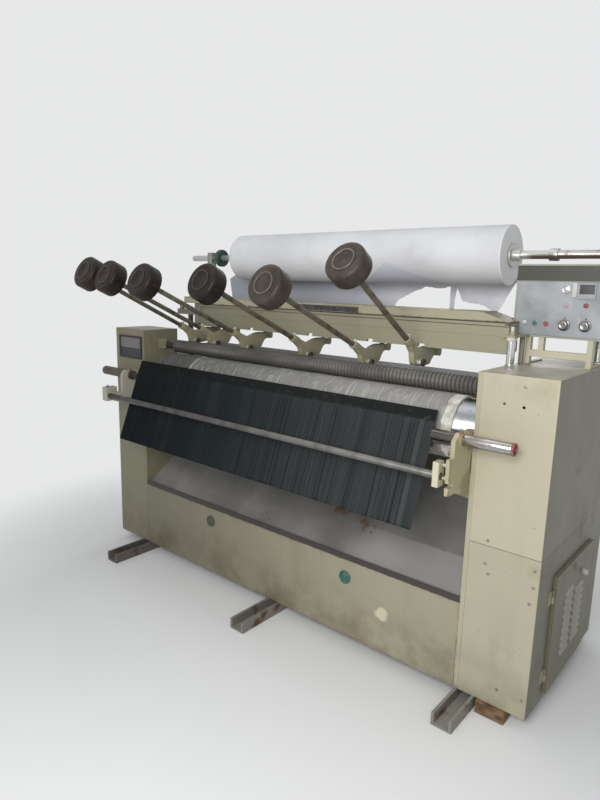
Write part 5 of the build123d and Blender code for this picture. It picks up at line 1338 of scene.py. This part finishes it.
# A cap starts clear of the face and its bezel, so that it meets neither when it is pressed.
lamp_row, button_row, button_gap, button_front, button_radius = 1.414, 1.413, 0.0046, -0.0245, 0.0085
bezels = []
for lamp_x, lamp_z, lamp_radius in ((0.957, lamp_row, 0.0095), (0.996, button_row, 0.0115),
                                    (1.037, button_row, 0.0115), (1.102, 1.483, 0.0095),
                                    (1.171, 1.484, 0.0105)):
    bezel = rod("bezel", (lamp_x, face_y, lamp_z), (lamp_x, face_y - 0.0022, lamp_z), lamp_radius, 40)
    faces_along(bezel, to_front, (0.0018, 0.0002), (0.0006, -0.0014))
    round_edges(bezel, 0.0003)
    bezels.append(bezel)
end(join("lamp_bezels", bezels), plate_grey, slot="knob_metal", stands_for=["panel_lamps"])
for lamp_name, lamp_x, lamp_z, lamp_radius, lamp_colour in (
        ("white_lamp", 0.957, lamp_row, 0.0075, (218, 220, 220)),
        ("pink_lamp", 1.102, 1.483, 0.0075, (196, 172, 168)),
        ("red_lamp", 1.171, 1.484, 0.0085, (150, 52, 62))):
    lamp_cap = domed(lamp_name, lamp_x, lamp_z, lamp_radius, 0.0045, 0.0022)
    round_edges(lamp_cap, 0.0003)
    end(lamp_cap, plastic(lamp_name + "_finish", lamp_colour), slot="lamp_plastic")
selector = rod("selector_ring", (1.096, face_y, 1.540), (1.096, face_y - 0.006, 1.540), 0.015, 48)
faces_along(selector, to_front, (0.0035, 0.0004), (0.0010, -0.0030), (0.0022, 0), (0.0008, 0.0032))
round_edges(selector, 0.0005)
end(selector, bright_finish, slot="knob_metal")
for button_name, button_x, button_body, button_colour, button_slot, button_node in (
        ("start_cap", 0.996, "start_button", (44, 112, 90), "green_plastic", "green_button"),
        ("stop_cap", 1.037, "stop_button", (158, 56, 66), "red_plastic", "red_button")):
    button = rod(button_name, (button_x, face_y - button_gap, button_row),
                 (button_x, button_front, button_row), button_radius, 36)
    faces_along(button, to_front, (0.0018, 0.0003), (0.0025, 0.0002))
    round_edges(button, 0.0004)
    end(button, plastic(button_name + "_finish", button_colour), button_body, button_slot, [button_node])

turned_finish = mottled("turned_finish", (120, 4), (150, 150, 150), (116, 114, 110), Metallic=1.0,
                        Roughness=0.22)
grip_root, grip_z, grip_radius, mark_z = -0.0163, 1.411, 0.021, 1.437
for knob_name, knob_x, knob_body, knob_node in (("left_dial_knob", 1.102, "left_knob", "knob_left"),
                                                ("right_dial_knob", 1.175, "right_knob", "knob_right")):
    grip = rod(knob_name, (knob_x, grip_root, grip_z), (knob_x, grip_root - 0.006, grip_z), grip_radius, 48)
    faces_along(grip, to_front, (0.0055, 0.0012), (0.0006, 0.0150), (0.0030, 0.0008), (0.0020, -0.0006))
    round_edges(grip, 0.0006)
    pointer = bar("pointer", (knob_x - 0.0008, knob_x + 0.0008, -0.0401, -0.0382, 1.4125, 1.4235))
    round_edges(pointer, 0.0003)
    end(join(knob_name, [grip, pointer]), turned_finish, knob_body, "knob_metal", [knob_node])
    mark = rod(knob_name + "_mark", (knob_x, face_y, mark_z), (knob_x, face_y - 0.0006, mark_z), 0.0028, 20)
    round_edges(mark, 0.0002)
    end(mark, gloss_black, slot="black_plastic")
